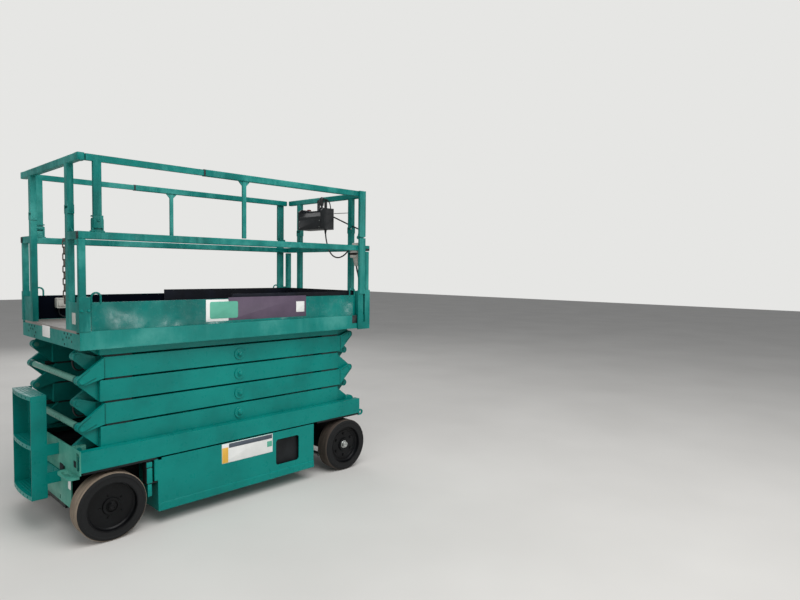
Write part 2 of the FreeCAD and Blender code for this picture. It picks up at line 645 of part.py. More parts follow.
def knuckles():
    """Fork round the kingpin eye, with the spindle of the front wheel and its steering arm."""
    eye_z = (WHEEL_RADIUS - AXLE_HEIGHT / 2 - KNUCKLE_GAP, WHEEL_RADIUS + AXLE_HEIGHT / 2 + KNUCKLE_GAP)
    web_outer = WHEEL_FACE - WHEEL_WIDTH - KNUCKLE_INSET
    web_y = (web_outer - KNUCKLE_WEB, web_outer)
    spindle_end = WHEEL_FACE - RIM_DISH_DEPTH
    for name, sign in (("left", 1), ("right", -1)):
        pieces = [
            bar_z(WHEEL_X_FRONT, KINGPIN_Y, KINGPIN_RADIUS, (eye_z[0] - 1, eye_z[1] + 1)),
            bar_y(WHEEL_X_FRONT, WHEEL_RADIUS, SPINDLE_RADIUS, (web_y[0], spindle_end)),
            block(
                (WHEEL_X_FRONT - AXLE_HALF_WIDTH, WHEEL_X_FRONT + AXLE_HALF_WIDTH), web_y,
                (eye_z[0] - KNUCKLE_PLATE, eye_z[1] + KNUCKLE_PLATE)),
        ]
        for z in ((eye_z[0] - KNUCKLE_PLATE, eye_z[0]), (eye_z[1], eye_z[1] + KNUCKLE_PLATE)):
            pieces.append(bar_z(WHEEL_X_FRONT, KINGPIN_Y, AXLE_HALF_WIDTH, z))
            pieces.append(block(
                (WHEEL_X_FRONT - AXLE_HALF_WIDTH, WHEEL_X_FRONT + AXLE_HALF_WIDTH),
                (KINGPIN_Y, web_y[1]), z))
        arm_z = (eye_z[0] - KNUCKLE_PLATE, eye_z[0])
        steer_x = WHEEL_X_FRONT - STEER_ARM_REACH
        arm_y = (KINGPIN_Y - STEER_ARM_HALF_WIDTH, KINGPIN_Y + STEER_ARM_HALF_WIDTH)
        pieces.append(block((steer_x, WHEEL_X_FRONT), arm_y, arm_z))
        pieces.append(bar_z(steer_x, KINGPIN_Y, STEER_ARM_HALF_WIDTH, arm_z))
        pin_low = arm_z[0] - TIE_EYE_GAP - 2 * TIE_EYE_HALF - 2
        pieces.append(bar_z(steer_x, KINGPIN_Y, TIE_ROD_RADIUS / 2, (pin_low, arm_z[0] + 1)))
        keep("knuckle_" + name, [side(join(pieces), sign)])

    rod_z = eye_z[0] - KNUCKLE_PLATE - TIE_EYE_GAP - TIE_EYE_HALF
    steer_x = WHEEL_X_FRONT - STEER_ARM_REACH
    eye = bar_z(steer_x, KINGPIN_Y, TIE_EYE_RADIUS, (rod_z - TIE_EYE_HALF, rod_z + TIE_EYE_HALF))
    rod = join([bar_y(steer_x, rod_z, TIE_ROD_RADIUS, (-KINGPIN_Y, KINGPIN_Y))] + pair(eye))
    for sign in (1, -1):
        rod = rod.cut(bar_z(steer_x, sign * KINGPIN_Y, TIE_ROD_RADIUS / 2 + PIN_FIT, (0, FULL_REACH)))
    keep("tie_rod", [rod])


def revolve_y(outline, x, z):
    """Body of revolution about a line along Y; the outline is (y, radius) points."""
    points = [V(x, y, z + r) for y, r in outline]
    return face_of(points).revolve(V(x, 0, z), V(0, 1, 0), 360)


def tyre(x):
    inner, outer = WHEEL_FACE - WHEEL_WIDTH, WHEEL_FACE
    shoulder = TYRE_SHOULDER
    seat = RIM_RADIUS + TYRE_SEAT
    groove = (RIM_RADIUS + WHEEL_RADIUS) / 2
    return revolve_y([
        (inner, seat), (inner, WHEEL_RADIUS - shoulder - 8), (inner + 4, WHEEL_RADIUS - shoulder + 4),
        (inner + shoulder, WHEEL_RADIUS), (outer - shoulder, WHEEL_RADIUS),
        (outer - 4, WHEEL_RADIUS - shoulder + 4), (outer, WHEEL_RADIUS - shoulder - 8),
        (outer, groove + 6), (outer - 3, groove), (outer - 3, seat),
    ], x, WHEEL_RADIUS)


def rim_body(x, ring):
    """Rim with its dished disc; the ring is (radius, width, height) of a bead on the disc, or None."""
    inner, outer = WHEEL_FACE - WHEEL_WIDTH, WHEEL_FACE
    wall = RIM_RADIUS - 7.0
    disc = outer - RIM_DISH_DEPTH
    bore = SPINDLE_RADIUS + PIN_FIT
    bead = []
    if ring:
        radius, width, height = ring
        bead = [(disc, radius + width), (disc + height, radius + width - 2),
                (disc + height, radius - width + 2), (disc, radius - width)]
    return revolve_y([
        (inner + 2, RIM_RADIUS), (outer - 3, RIM_RADIUS), (outer - 3, wall), (disc + 6, wall - 4),
        (disc, wall - 12),
    ] + bead + [
        (disc, HUB_RADIUS - 4), (disc + HUB_PROUD, HUB_RADIUS - 8),
        (disc + HUB_PROUD, HUB_RADIUS - 8 - HUB_WALL), (disc + 2, HUB_RADIUS - 10 - HUB_WALL),
        (disc + 2, bore), (disc - 44, bore), (disc - 44, HUB_RADIUS), (disc - RIM_DISC, HUB_RADIUS),
        (disc - RIM_DISC, wall - 8), (inner + 2, wall),
    ], x, WHEEL_RADIUS)


def rear_rim(x):
    """Rim with short slots round the hub ring."""
    rim = rim_body(x, None)
    disc = WHEEL_FACE - RIM_DISH_DEPTH
    start, end, width = HUB_SLOT
    for k in range(HUB_SLOTS):
        slot = block((x + start, x + end), (disc - RIM_DISC / 2, disc + 1),
                     (WHEEL_RADIUS - width / 2, WHEEL_RADIUS + width / 2))
        slot = soften(slot, Y_AXIS, width / 2 - 0.5)
        slot.rotate(V(x, 0, WHEEL_RADIUS), Y_AXIS, HUB_SLOT_TURN + k * 360 / HUB_SLOTS)
        rim = rim.cut(slot)
    return rim


def front_rim(x):
    """Rim with a bead round the disc and the bolts of the drive."""
    disc = WHEEL_FACE - RIM_DISH_DEPTH
    pieces = [rim_body(x, (FRONT_RING_RADIUS, 6.0, 4.0))]
    for k in range(WHEEL_BOLTS):
        turn = math.radians(30 + k * 360 / WHEEL_BOLTS)
        pieces.append(bar_y(
            x + BOLT_CIRCLE * math.cos(turn), WHEEL_RADIUS + BOLT_CIRCLE * math.sin(turn),
            BOLT_HEAD_RADIUS, (disc - 1, disc + BOLT_HEAD_HEIGHT)))
    return join(pieces)


def wheel(end, x, rim, name, sign):
    keep("tyre_%s_%s" % (end, name), [side(tyre(x), sign)])
    keep("rim_%s_%s" % (end, name), [side(rim, sign)])


def module(name, sign):
    """Tray that swings out: panel with its vent window, floor and end walls."""
    low, high = MODULE_Z
    panel_x = (MODULE_HINGE_X + HINGE_SETBACK, MODULE_X[1] + PANEL_LIP)
    panel = block(panel_x, (MODULE_OUTER - MODULE_WALL, MODULE_OUTER), (low, high))
    window = block(VENT_X, (MODULE_OUTER - MODULE_WALL - 1, MODULE_OUTER + 1), VENT_Z)
    panel = panel.cut(soften(window, Y_AXIS, VENT_CORNER))
    notch = block(
        (panel_x[0] - 1, panel_x[0] + PANEL_NOTCH[0]), (MODULE_OUTER - MODULE_WALL - 1, MODULE_OUTER + 1),
        (high - PANEL_NOTCH[1], high + 1))
    skirt = plate_x([
        (MODULE_OUTER - 1, low), (MODULE_OUTER + SKIRT_PROUD, low),
        (MODULE_OUTER + SKIRT_PROUD, SKIRT_TOP - SKIRT_PROUD), (MODULE_OUTER - 1, SKIRT_TOP)], panel_x)
    panel = join([panel.cut(notch), skirt])
    floor = block(MODULE_X, (MODULE_INNER, MODULE_OUTER - MODULE_WALL), (low, low + MODULE_WALL))
    wall_z = (low, high - 60)
    walls = [
        block((MODULE_X[0], MODULE_X[0] + MODULE_WALL), (MODULE_INNER, MODULE_OUTER - MODULE_WALL), wall_z),
        block((MODULE_X[1] - MODULE_WALL, MODULE_X[1]), (MODULE_INNER, MODULE_OUTER - MODULE_WALL), wall_z),
    ]
    eye_z = (HINGE_Z + 1, CHASSIS_RAIL_Z[0] - TOP_PLATE - 1)
    eye = bar_z(MODULE_HINGE_X, MODULE_HINGE_Y, MODULE_EYE_RADIUS, eye_z)
    arm_piece = block((MODULE_HINGE_X, panel_x[0] + 1), (MODULE_HINGE_Y, MODULE_OUTER), eye_z)
    tray = join([panel, floor, eye, arm_piece] + walls)
    tray = tray.cut(bar_z(MODULE_HINGE_X, MODULE_HINGE_Y, HINGE_PIN_RADIUS + PIN_FIT, (0, FULL_REACH)))
    keep("module_tray_" + name, [side(tray, sign)])


def module_load(name, sign):
    low, high = MODULE_Z
    load = block(
        (MODULE_X[0] + 40, MODULE_X[1] - 30), (MODULE_INNER + 14, MODULE_OUTER - MODULE_WALL - 20),
        (low + MODULE_WALL, high - 70))
    keep(name, [side(load, sign)])


def ladder_step(top):
    """Tread bent from plate: bowed rear edge, flange with holes, and grip ridges."""
    rear, front = LADDER_X
    middle_y = (LADDER_Y[0] + LADDER_Y[1]) / 2
    edge_x = rear + STEP_BOW
    edges = Part.Wire([
        Part.Arc(
            V(edge_x, LADDER_Y[0], top), V(rear, middle_y, top), V(edge_x, LADDER_Y[1], top)).toShape(),
        Part.makeLine(V(edge_x, LADDER_Y[1], top), V(front, LADDER_Y[1], top)),
        Part.makeLine(V(front, LADDER_Y[1], top), V(front, LADDER_Y[0], top)),
        Part.makeLine(V(front, LADDER_Y[0], top), V(edge_x, LADDER_Y[0], top)),
    ])
    tread = Part.Face(edges).extrude(V(0, 0, -STEP_THICKNESS))
    hollow = block(
        (edge_x + STEP_WALL, front - STEP_WALL), (LADDER_Y[0] + STRINGER_WALL, LADDER_Y[1] - STRINGER_WALL),
        (top - STEP_THICKNESS - 1, top - STEP_WALL))
    tread = tread.cut(hollow)
    pitch = (LADDER_Y[1] - LADDER_Y[0]) / (STEP_HOLES + 1)
    for k in range(1, STEP_HOLES + 1):
        tread = tread.cut(bar_x(
            LADDER_Y[0] + k * pitch, top - STEP_THICKNESS / 2 - 1, STEP_HOLE_RADIUS, (rear - 1, edge_x + 20)))
    ridges = []
    row = (front - edge_x) / (GRIP_ROWS + 1)
    for k in range(1, GRIP_ROWS + 1):
        x = edge_x + k * row
        ridges.append(block(
            (x - GRIP_WIDTH / 2, x + GRIP_WIDTH / 2), (LADDER_Y[0] + 25, LADDER_Y[1] - 25),
            (top - 1, top + GRIP_HEIGHT)))
    return join([tread] + ridges)


def ladder():
    top = STEP_HEIGHTS[-1]
    stringer_x = (LADDER_X[0] + STEP_BOW, LADDER_X[1])
    pieces = []
    for y in (LADDER_Y[0], LADDER_Y[1] - STRINGER_WALL):
        stringer_y = (y, y + STRINGER_WALL)
        pieces.append(block(stringer_x, stringer_y, (STRINGER_BOTTOM, top)))
        for z in (STEP_HEIGHTS[0] + 60, CHASSIS_RAIL_Z[0] + 40):
            pieces.append(block((LADDER_X[1], RAIL_REAR - BULKHEAD_THICKNESS), stringer_y, (z, z + 70)))
    pieces += [ladder_step(z) for z in STEP_HEIGHTS]
    pieces.append(block(
        (RAIL_REAR - BULKHEAD_THICKNESS, RAIL_REAR), LADDER_Y,
        (STEP_HEIGHTS[0] + 60, STEP_HEIGHTS[0] + 130)))
    keep("ladder", [join(pieces)])


def platform():
    outer, low = PLATFORM_HALF_WIDTH, PLATFORM_BOTTOM
    wall, inner = CHANNEL_WALL, PLATFORM_HALF_WIDTH - CHANNEL_WIDTH
    deck_bottom = DECK_TOP - DECK_THICKNESS
    section = [
        (outer, low), (outer, DECK_TOP), (inner, DECK_TOP), (inner, DECK_TOP - wall),
        (outer - wall, DECK_TOP - wall), (outer - wall, low + wall), (inner, low + wall), (inner, low),
    ]
    channel = plate_x(section, (0, PLATFORM_LENGTH))
    end_plate_y = (-outer + wall, outer - wall)
    ends = [
        block((0, wall), end_plate_y, (low, deck_bottom)),
        block((PLATFORM_LENGTH - wall, PLATFORM_LENGTH), end_plate_y, (low, deck_bottom)),
    ]
    for y, z in END_BOLT_HOLES:
        for sign in (1, -1):
            ends[0] = ends[0].cut(bar_x(sign * y, z, BOLT_HOLE_RADIUS, (-1, wall + 1)))
    bracket_x = (PIN_X_REAR + TOP_PIN_SHIFT - LUG_RADIUS - 4, PIN_X_REAR + TOP_PIN_SHIFT + LUG_RADIUS + 4)
    bracket_y = (half_layer(OUTER_ARM_Y, True)[0] + 4, outer - wall)
    bracket = block(bracket_x, bracket_y, (low + wall, deck_bottom))
    bracket = drilled(bracket, PIN_X_REAR + TOP_PIN_SHIFT, TOP_PIN_Z, PIN_RADIUS, (0, outer))
    track = block(
        (wall, PLATFORM_LENGTH - wall), DECK_TRACK_Y, (deck_bottom - DECK_TRACK_HEIGHT, deck_bottom))
    keep("platform_frame", [join(pair(channel) + ends + pair(bracket) + pair(track))])

    deck = block((0, PLATFORM_LENGTH), (-inner, inner), (deck_bottom, DECK_TOP))
    keep("platform_deck", [deck])


def rounded_bar(x, y, z, axis):
    return soften(block(x, y, z), axis, RAIL_CORNER)


X_AXIS, Y_AXIS, Z_AXIS = V(1, 0, 0), V(0, 1, 0), V(0, 0, 1)


def hook_ring(x, y):
    """Round bar bent to a staple, with its legs on the top edge of a toe board."""
    base = DECK_TOP + TOE_HEIGHT
    centre = V(x, y, base + HOOK_RING_RISE)
    bend = Part.makeTorus(HOOK_RING_RADIUS, HOOK_RING_BAR, centre, Y_AXIS)
    lower = block(
        (x - HOOK_RING_RADIUS * 2, x + HOOK_RING_RADIUS * 2), (y - HOOK_RING_BAR * 2, y + HOOK_RING_BAR * 2),
        (base - HOOK_RING_RADIUS, centre.z))
    legs = [
        bar_z(x + turn * HOOK_RING_RADIUS, y, HOOK_RING_BAR, (base - 10, centre.z)) for turn in (-1, 1)]
    return join([bend.cut(lower)] + legs)


def toe_boards():
    outer = PLATFORM_HALF_WIDTH - TOE_INSET
    board = block((TOE_REAR, TOE_FRONT), (outer - TOE_WALL, outer), (DECK_TOP, DECK_TOP + TOE_HEIGHT))
    board = join([board] + [hook_ring(x, outer - TOE_WALL / 2) for x in HOOK_RING_X])
    keep("toe_boards", pair(board))


def outlet_box():
    """Power outlet on the inner face of the left toe board."""
    outer = PLATFORM_HALF_WIDTH - TOE_INSET - TOE_WALL
    body = block(OUTLET_X, (outer - OUTLET_DEPTH, outer), OUTLET_Z)
    keep("outlet_box", [soften(body, Y_AXIS, 8.0)])


def chain_link(y, z, turned):
    """Flat link with round ends; every other one is turned a quarter."""
    bar = LINK_BAR / 2
    pieces = []
    for width, length, thick in (
            (LINK_WIDTH, LINK_LENGTH, bar), (LINK_WIDTH - 2 * LINK_BAR, LINK_LENGTH - 2 * LINK_BAR, bar + 1)):
        piece = block((-width / 2, width / 2), (-thick, thick), (-length / 2, length / 2))
        pieces.append(soften(piece, Y_AXIS, width / 2 - 0.2))
    link = pieces[0].cut(pieces[1])
    if turned:
        link.rotate(V(0, 0, 0), Z_AXIS, 90)
    link.translate(V(POST_WIDTH / 2, y, z))
    return link


def access_chain():
    """Two hanging strands below an eye plate on the inner post."""
    pitch = LINK_LENGTH - 2 * LINK_BAR - LINK_SINK
    plate_y_ends = (-END_POST_Y[0], CHAIN_Y[1] + LINK_WIDTH / 2)
    middle = POST_WIDTH / 2
    pieces = [block(
        (middle - EYE_PLATE_WALL / 2, middle + EYE_PLATE_WALL / 2), plate_y_ends,
        (CHAIN_TOP - LINK_BAR - 2, CHAIN_TOP + EYE_PLATE_WALL))]
    for y in CHAIN_Y:
        for k in range(CHAIN_LINKS):
            pieces.append(chain_link(y, CHAIN_TOP - LINK_LENGTH / 2 - k * pitch, k % 2 == 1))
    keep("access_chain", [join(pieces)])


def lower_guard_rails():
    """Posts and mid rails that stay up when the upper frames fold."""
    outer = PLATFORM_HALF_WIDTH
    mid_z = (MID_RAIL_TOP - RAIL_HEIGHT, MID_RAIL_TOP)
    rail_y = (outer - RAIL_WIDTH, outer)
    mid = rounded_bar((0, PLATFORM_LENGTH), rail_y, mid_z, X_AXIS)
    corner = block((0, POST_WIDTH), rail_y, (DECK_TOP, mid_z[0] + 1))
    base = block(
        (0, TOE_WALL), (ENTRY_PLATE_INNER, outer - RAIL_WIDTH + 1), (DECK_TOP, DECK_TOP + TOE_HEIGHT))
    end_mid = block((0, POST_WIDTH), (END_POST_Y[0], outer - RAIL_WIDTH + 1), mid_z)
    sleeve = block(
        POST_SLEEVE_X, (rail_y[0] - POST_SLEEVE_WALL, outer + POST_SLEEVE_WALL),
        (DECK_TOP, DECK_TOP + POST_SLEEVE_HEIGHT))
    foot_plate = block(FOOT_PLATE_X, rail_y, (MID_RAIL_TOP - 1, MID_RAIL_TOP + FOOT_PLATE_THICKNESS))
    gusset_x = (POST_WIDTH / 2 - GUSSET_WALL / 2, POST_WIDTH / 2 + GUSSET_WALL / 2)
    gusset = plate_x([
        (END_POST_Y[1] - 1, MID_RAIL_TOP - 1), (END_POST_Y[1] + GUSSET_REACH, MID_RAIL_TOP - 1),
        (END_POST_Y[1] + GUSSET_REACH, MID_RAIL_TOP + 4), (END_POST_Y[1] - 1, MID_RAIL_TOP + GUSSET_HEIGHT),
    ], gusset_x)
    pieces = [mid, corner, base, end_mid, sleeve, foot_plate, gusset] + end_post(0, DECK_TOP)
    for x in (SIDE_FRAME_TOE - FOLD_EAR - SLIDE_GAP, SIDE_FRAME_TOE + RAIL_HEIGHT + SLIDE_GAP):
        pieces.append(fold_ear(x, mid_z[1] - 1))
    pieces.append(fold_pin(SIDE_FRAME_TOE - FOLD_EAR - SLIDE_GAP, SIDE_FRAME_TOE + RAIL_HEIGHT + FOLD_EAR))
    keep("guard_posts_main", pair(join(pieces)))


def end_post(x, bottom):
    """Inner post of an end, with the pin on which its upper frame folds."""
    pin_x = x + POST_WIDTH / 2
    return [
        block((x, x + POST_WIDTH), END_POST_Y, (bottom, END_PIVOT_Z)),
        bar_y(pin_x, END_PIVOT_Z, POST_WIDTH / 2, END_POST_Y),
        bar_y(
            pin_x, END_PIVOT_Z, END_PIVOT_RADIUS,
            (END_POST_Y[0] - END_CHEEK - 2, END_POST_Y[1] + END_CHEEK + 2)),
    ]


def fold_ear(x, bottom):
    """Plate that stands on a rail or post and holds the pin of a side frame."""
    y = (FOLD_PIVOT_Y - FOLD_EYE_RADIUS, FOLD_PIVOT_Y + FOLD_EYE_RADIUS)
    return block((x, x + FOLD_EAR), y, (bottom, FOLD_PIVOT_Z)).fuse(
        bar_x(FOLD_PIVOT_Y, FOLD_PIVOT_Z, FOLD_EYE_RADIUS, (x, x + FOLD_EAR)))


def fold_pin(low, high):
    return bar_x(FOLD_PIVOT_Y, FOLD_PIVOT_Z, FOLD_PIN_RADIUS, (low, high))


def fold_eye(x):
    """Round foot of a side frame's post."""
    return bar_x(FOLD_PIVOT_Y, FOLD_PIVOT_Z, FOLD_EYE_RADIUS, x)


def bored(shape, ends):
    return shape.cut(bar_x(FOLD_PIVOT_Y, FOLD_PIVOT_Z, FOLD_PIN_RADIUS + PIN_FIT, ends))


def side_frames():
    """Upper side frames: a thin rail at the rear that slides inside a sleeve rail at the front."""
    outer = PLATFORM_HALF_WIDTH
    middle_y = outer - RAIL_WIDTH / 2
    middle_z = TOP_RAIL_TOP - RAIL_HEIGHT / 2
    thin_y = (middle_y - THIN_RAIL_WIDTH / 2, middle_y + THIN_RAIL_WIDTH / 2)
    thin_z = (middle_z - THIN_RAIL_HEIGHT / 2, middle_z + THIN_RAIL_HEIGHT / 2)
    thin_x = (SIDE_FRAME_REAR, SLEEVE_FRONT - 15)
    post_x = (SIDE_FRAME_TOE, SIDE_FRAME_TOE + RAIL_HEIGHT)
    thin = join([
        block(thin_x, thin_y, thin_z),
        block(post_x, thin_y, (FOLD_PIVOT_Z, thin_z[0] + 1)),
        fold_eye(post_x),
    ])
    collar = block(COLLAR_X, (thin_y[0] - 8, outer), COLLAR_Z)
    thin = bored(join([thin, collar]), (post_x[0] - 1, post_x[1] + 1))

    sleeve_y = (outer - RAIL_WIDTH, outer)
    sleeve_z = (TOP_RAIL_TOP - RAIL_HEIGHT, TOP_RAIL_TOP)
    sleeve = rounded_bar((SLEEVE_REAR, SLEEVE_FRONT), sleeve_y, sleeve_z, X_AXIS)
    hollow = block(
        (SLEEVE_REAR - 1, SLEEVE_FRONT - 10), (thin_y[0] - SLEEVE_GAP, thin_y[1] + SLEEVE_GAP),
        (thin_z[0] - SLEEVE_GAP, thin_z[1] + SLEEVE_GAP))
    baluster_x = (BALUSTER_X, BALUSTER_X + BALUSTER_WIDTH)
    baluster_y = (middle_y - RAIL_WIDTH / 4, middle_y + RAIL_WIDTH / 4)
    baluster = block(baluster_x, baluster_y, (MID_RAIL_TOP + 6, sleeve_z[0] + 1))
    gusset = plate_y([
        (BALUSTER_X - 32, sleeve_z[0] + 1), (BALUSTER_X + BALUSTER_WIDTH + 32, sleeve_z[0] + 1),
        (BALUSTER_X + BALUSTER_WIDTH, sleeve_z[0] - 34), (BALUSTER_X, sleeve_z[0] - 34)],
        (middle_y - 4, middle_y + 4))
    post = block(FRONT_POST_X, (outer - 1, FRONT_OUTER), (FOLD_PIVOT_Z + 6, TOP_RAIL_TOP))
    foot_x = (FRONT_POST_X[0] + 10, FRONT_POST_X[1] - 10)
    foot = block(foot_x, (FOLD_PIVOT_Y, FRONT_OUTER), (FOLD_PIVOT_Z, FOLD_PIVOT_Z + 30))
    front = join([sleeve.cut(hollow), baluster, gusset, post, foot, fold_eye(foot_x)])
    front = bored(front, (foot_x[0] - 1, foot_x[1] + 1))
    for name, sign in (("left", 1), ("right", -1)):
        keep("guard_side_rear_" + name, [side(thin, sign)])
        keep("guard_side_front_" + name, [side(front, sign)])


def end_frame(x):
    """Upper end frame: two posts and a top bar, with cheeks that fold on the inner posts."""
    pin_x = x + POST_WIDTH / 2
    post_x = (x, x + POST_WIDTH)
    cheek_z = (END_PIVOT_Z - POST_WIDTH / 2, END_PIVOT_Z + 34)
    bar = rounded_bar(post_x, (-END_BAR_HALF, END_BAR_HALF), (TOP_RAIL_TOP - RAIL_HEIGHT, TOP_RAIL_TOP), Y_AXIS)
    pieces = [bar]
    for cheek_y in (
            (END_POST_Y[0] - END_CHEEK, END_POST_Y[0] - SLIDE_GAP),
            (END_POST_Y[1] + SLIDE_GAP, END_POST_Y[1] + END_CHEEK)):
        pieces += pair(block(post_x, cheek_y, cheek_z))
    post_y = (END_POST_Y[0] - END_CHEEK, END_POST_Y[1] + END_CHEEK)
    pieces += pair(block(post_x, post_y, (END_PIVOT_Z + 26, END_PIVOT_Z + 34)))
    pieces += pair(block(post_x, END_POST_Y, (END_PIVOT_Z + 26, TOP_RAIL_TOP - RAIL_HEIGHT + 1)))
    return join(pieces).cut(bar_y(pin_x, END_PIVOT_Z, END_PIVOT_RADIUS + PIN_FIT, (-FULL_REACH, FULL_REACH)))


def extension():
    """Deck that slides forward over the main deck, with its toe boards, posts and front end."""
    half = EXTENSION_HALF_WIDTH
    top = DECK_TOP + EXTENSION_RISE
    deck = block((EXTENSION_REAR, EXTENSION_FRONT), (-half, half), (top - EXTENSION_PLATE, top))
    runner = block(
        (EXTENSION_REAR, EXTENSION_FRONT), (half - 30, half), (DECK_TOP + RUNNER_GAP, top - EXTENSION_PLATE))
    skirt = block((EXTENSION_FRONT - 8, EXTENSION_FRONT), (-half, half), (DECK_TOP + RUNNER_GAP, top))
    keep("extension_deck", [join([deck, skirt] + pair(runner))])

    board_z = (top, top + TOE_HEIGHT)
    front_x = (FRONT_END_POST_X[0] - TOE_WALL, FRONT_END_POST_X[0])
    sides = pair(block((EXTENSION_REAR, front_x[1]), (half - TOE_WALL, half), board_z))
    front = block(front_x, (-half, half), board_z)
    keep("extension_toe_boards", [join(sides + [front])])

    # Front corners: plate and post outboard of the mid rail, short post below it
    outer = PLATFORM_HALF_WIDTH
    plate_y_ends = (outer + SLIDE_GAP, outer + SLIDE_GAP + CORNER_PLATE_WALL)
    plate = block(FRONT_CORNER_X, plate_y_ends, (PLATFORM_BOTTOM - 8, board_z[1] + 10))
    slot = block(CORNER_SLOT_X, (half - 1, plate_y_ends[1] + 1), CORNER_SLOT_Z)
    web = block((FRONT_POST_X[0], FRONT_END_POST_X[1]), (half, plate_y_ends[1]), (DECK_TOP + 4, board_z[1]))
    post = block(FRONT_POST_X, (plate_y_ends[0], FRONT_OUTER), (board_z[1] - 20, FOLD_PIVOT_Z - 6))
    end_post_low = block(
        FRONT_END_POST_X, (half, outer), (board_z[1] - 1, MID_RAIL_TOP - RAIL_HEIGHT - 5))
    ear_x = FRONT_POST_X[1] - 10 + SLIDE_GAP
    ear = fold_ear(ear_x, MID_RAIL_TOP + 6)
    ear_web = block(
        (ear_x, ear_x + FOLD_EAR), (FOLD_PIVOT_Y, FRONT_OUTER), (MID_RAIL_TOP + 6, FOLD_PIVOT_Z - 6))
    pin = fold_pin(FRONT_POST_X[0] + 10, ear_x + FOLD_EAR)
    inner_post = end_post(FRONT_END_POST_X[0], top)
    mid = block(
        (FRONT_END_POST_X[0], FRONT_END_POST_X[0] + POST_WIDTH), (0, END_POST_Y[0] + 1),
        (MID_RAIL_TOP - RAIL_HEIGHT, MID_RAIL_TOP))
    outer_mid = block(
        (FRONT_END_POST_X[0], FRONT_END_POST_X[0] + POST_WIDTH), (END_POST_Y[1] - 1, half + 4),
        (MID_RAIL_TOP - RAIL_HEIGHT, MID_RAIL_TOP))
    corner = join([plate, web, post, end_post_low, ear, ear_web, pin]).cut(slot)
    keep("extension_corner_posts", pair(corner))
    ends = join(inner_post + [mid, outer_mid])
    keep("extension_end_posts", [join(pair(ends))])


def control_box():
    """Box with a sloped face between two cheeks, hung on the front top bar, with its lever."""
    low, high = CONTROL_Z
    half = CONTROL_HALF_WIDTH
    face_x, face_z = CONTROL_X[0] + CONTROL_SLOPE[0], high - CONTROL_SLOPE[1]
    shell = plate_y([
        (CONTROL_X[0], low), (CONTROL_X[1], low), (CONTROL_X[1], high - CONTROL_CHEEK_RISE),
        (face_x, high - CONTROL_CHEEK_RISE), (CONTROL_X[0], face_z - CONTROL_CHEEK_RISE)], (-half, half))
    cheek = plate_y([
        (CONTROL_X[0], low), (CONTROL_X[1], low), (CONTROL_X[1], high), (face_x - 15, high),
        (CONTROL_X[0], high - 22)], (half - CONTROL_CHEEK, half))
    bar_bottom = TOP_RAIL_TOP - RAIL_HEIGHT
    hook = block(
        (CONTROL_X[1] - 6, FRONT_END_POST_X[0]), (CONTROL_HOOK_Y - 20, CONTROL_HOOK_Y),
        (high - 60, bar_bottom + 20))
    keep("control_box", [join([shell] + pair(cheek) + pair(hook))])
    lever_x, base = CONTROL_X[0] + 90, high - CONTROL_CHEEK_RISE
    boot = Part.makeCone(38, 18, 34, V(lever_x, JOYSTICK_Y, base))
    shaft = bar_z(lever_x, JOYSTICK_Y, 9, (base + 30, base + 60))
    grip = Part.makeCone(13, 20, 62, V(lever_x, JOYSTICK_Y, base + 52))
    cap = Part.makeCone(20, 13, 10, V(lever_x, JOYSTICK_Y, base + 114))
    keep("joystick", [join([boot, shaft, grip, cap])])


def build():
    scissor_arms()
    lift_cylinder("lower", 2)
    lift_cylinder("upper", 4)
    chassis()
    axles()
    knuckles()
    for end, x, rim in (
            ("rear", WHEEL_X_REAR, rear_rim(WHEEL_X_REAR)),
            ("front", WHEEL_X_FRONT, front_rim(WHEEL_X_FRONT))):
        for name, sign in (("left", 1), ("right", -1)):
            wheel(end, x, rim, name, sign)
    for name, sign in (("left", 1), ("right", -1)):
        module(name, sign)
    module_load("battery_pack", 1)
    module_load("hydraulic_unit", -1)
    ladder()
    platform()
    toe_boards()
    lower_guard_rails()
    side_frames()
    keep("guard_rear", [end_frame(0)])
    extension()
    keep("guard_front", [end_frame(FRONT_END_POST_X[0])])
    control_box()
    outlet_box()
    access_chain()


build()
os.makedirs("parts", exist_ok=True)
for name, shape in parts.items():
    shape.exportStep("parts/" + name + ".step")
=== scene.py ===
import math

import bmesh
import bpy
from mathutils import Matrix, Vector


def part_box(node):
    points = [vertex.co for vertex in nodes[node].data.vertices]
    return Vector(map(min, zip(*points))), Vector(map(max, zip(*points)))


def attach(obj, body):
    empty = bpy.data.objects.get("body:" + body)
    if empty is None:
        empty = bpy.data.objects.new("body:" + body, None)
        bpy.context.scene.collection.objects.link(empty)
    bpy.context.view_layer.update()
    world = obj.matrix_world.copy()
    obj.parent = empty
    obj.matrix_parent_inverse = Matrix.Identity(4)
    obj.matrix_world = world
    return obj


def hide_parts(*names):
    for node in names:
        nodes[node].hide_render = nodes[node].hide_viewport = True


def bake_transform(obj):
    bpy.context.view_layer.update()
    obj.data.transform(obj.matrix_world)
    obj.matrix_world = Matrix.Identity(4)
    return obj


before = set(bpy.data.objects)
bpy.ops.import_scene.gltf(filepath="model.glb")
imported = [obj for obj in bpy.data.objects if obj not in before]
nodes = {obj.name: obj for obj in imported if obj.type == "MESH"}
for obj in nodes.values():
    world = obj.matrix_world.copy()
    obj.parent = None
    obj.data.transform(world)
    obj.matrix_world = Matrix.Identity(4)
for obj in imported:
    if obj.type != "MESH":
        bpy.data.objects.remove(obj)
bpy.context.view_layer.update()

SIDES = (("left", 1), ("right", -1))
UP = (0, 0, 1)

# Camera, materials and light

# Place, and yaw, pitch and roll in radians
EYE, EYE_TURN = (-2.2305, -4.229, 1.6375), (-0.808, -0.0488, 0.01125)
LENS, SENSOR = 26.82, 36.0


def new_object(name, data):
    """Object of the given data, in the scene."""
    item = bpy.data.objects.new(name, data)
    bpy.context.scene.collection.objects.link(item)
    return item


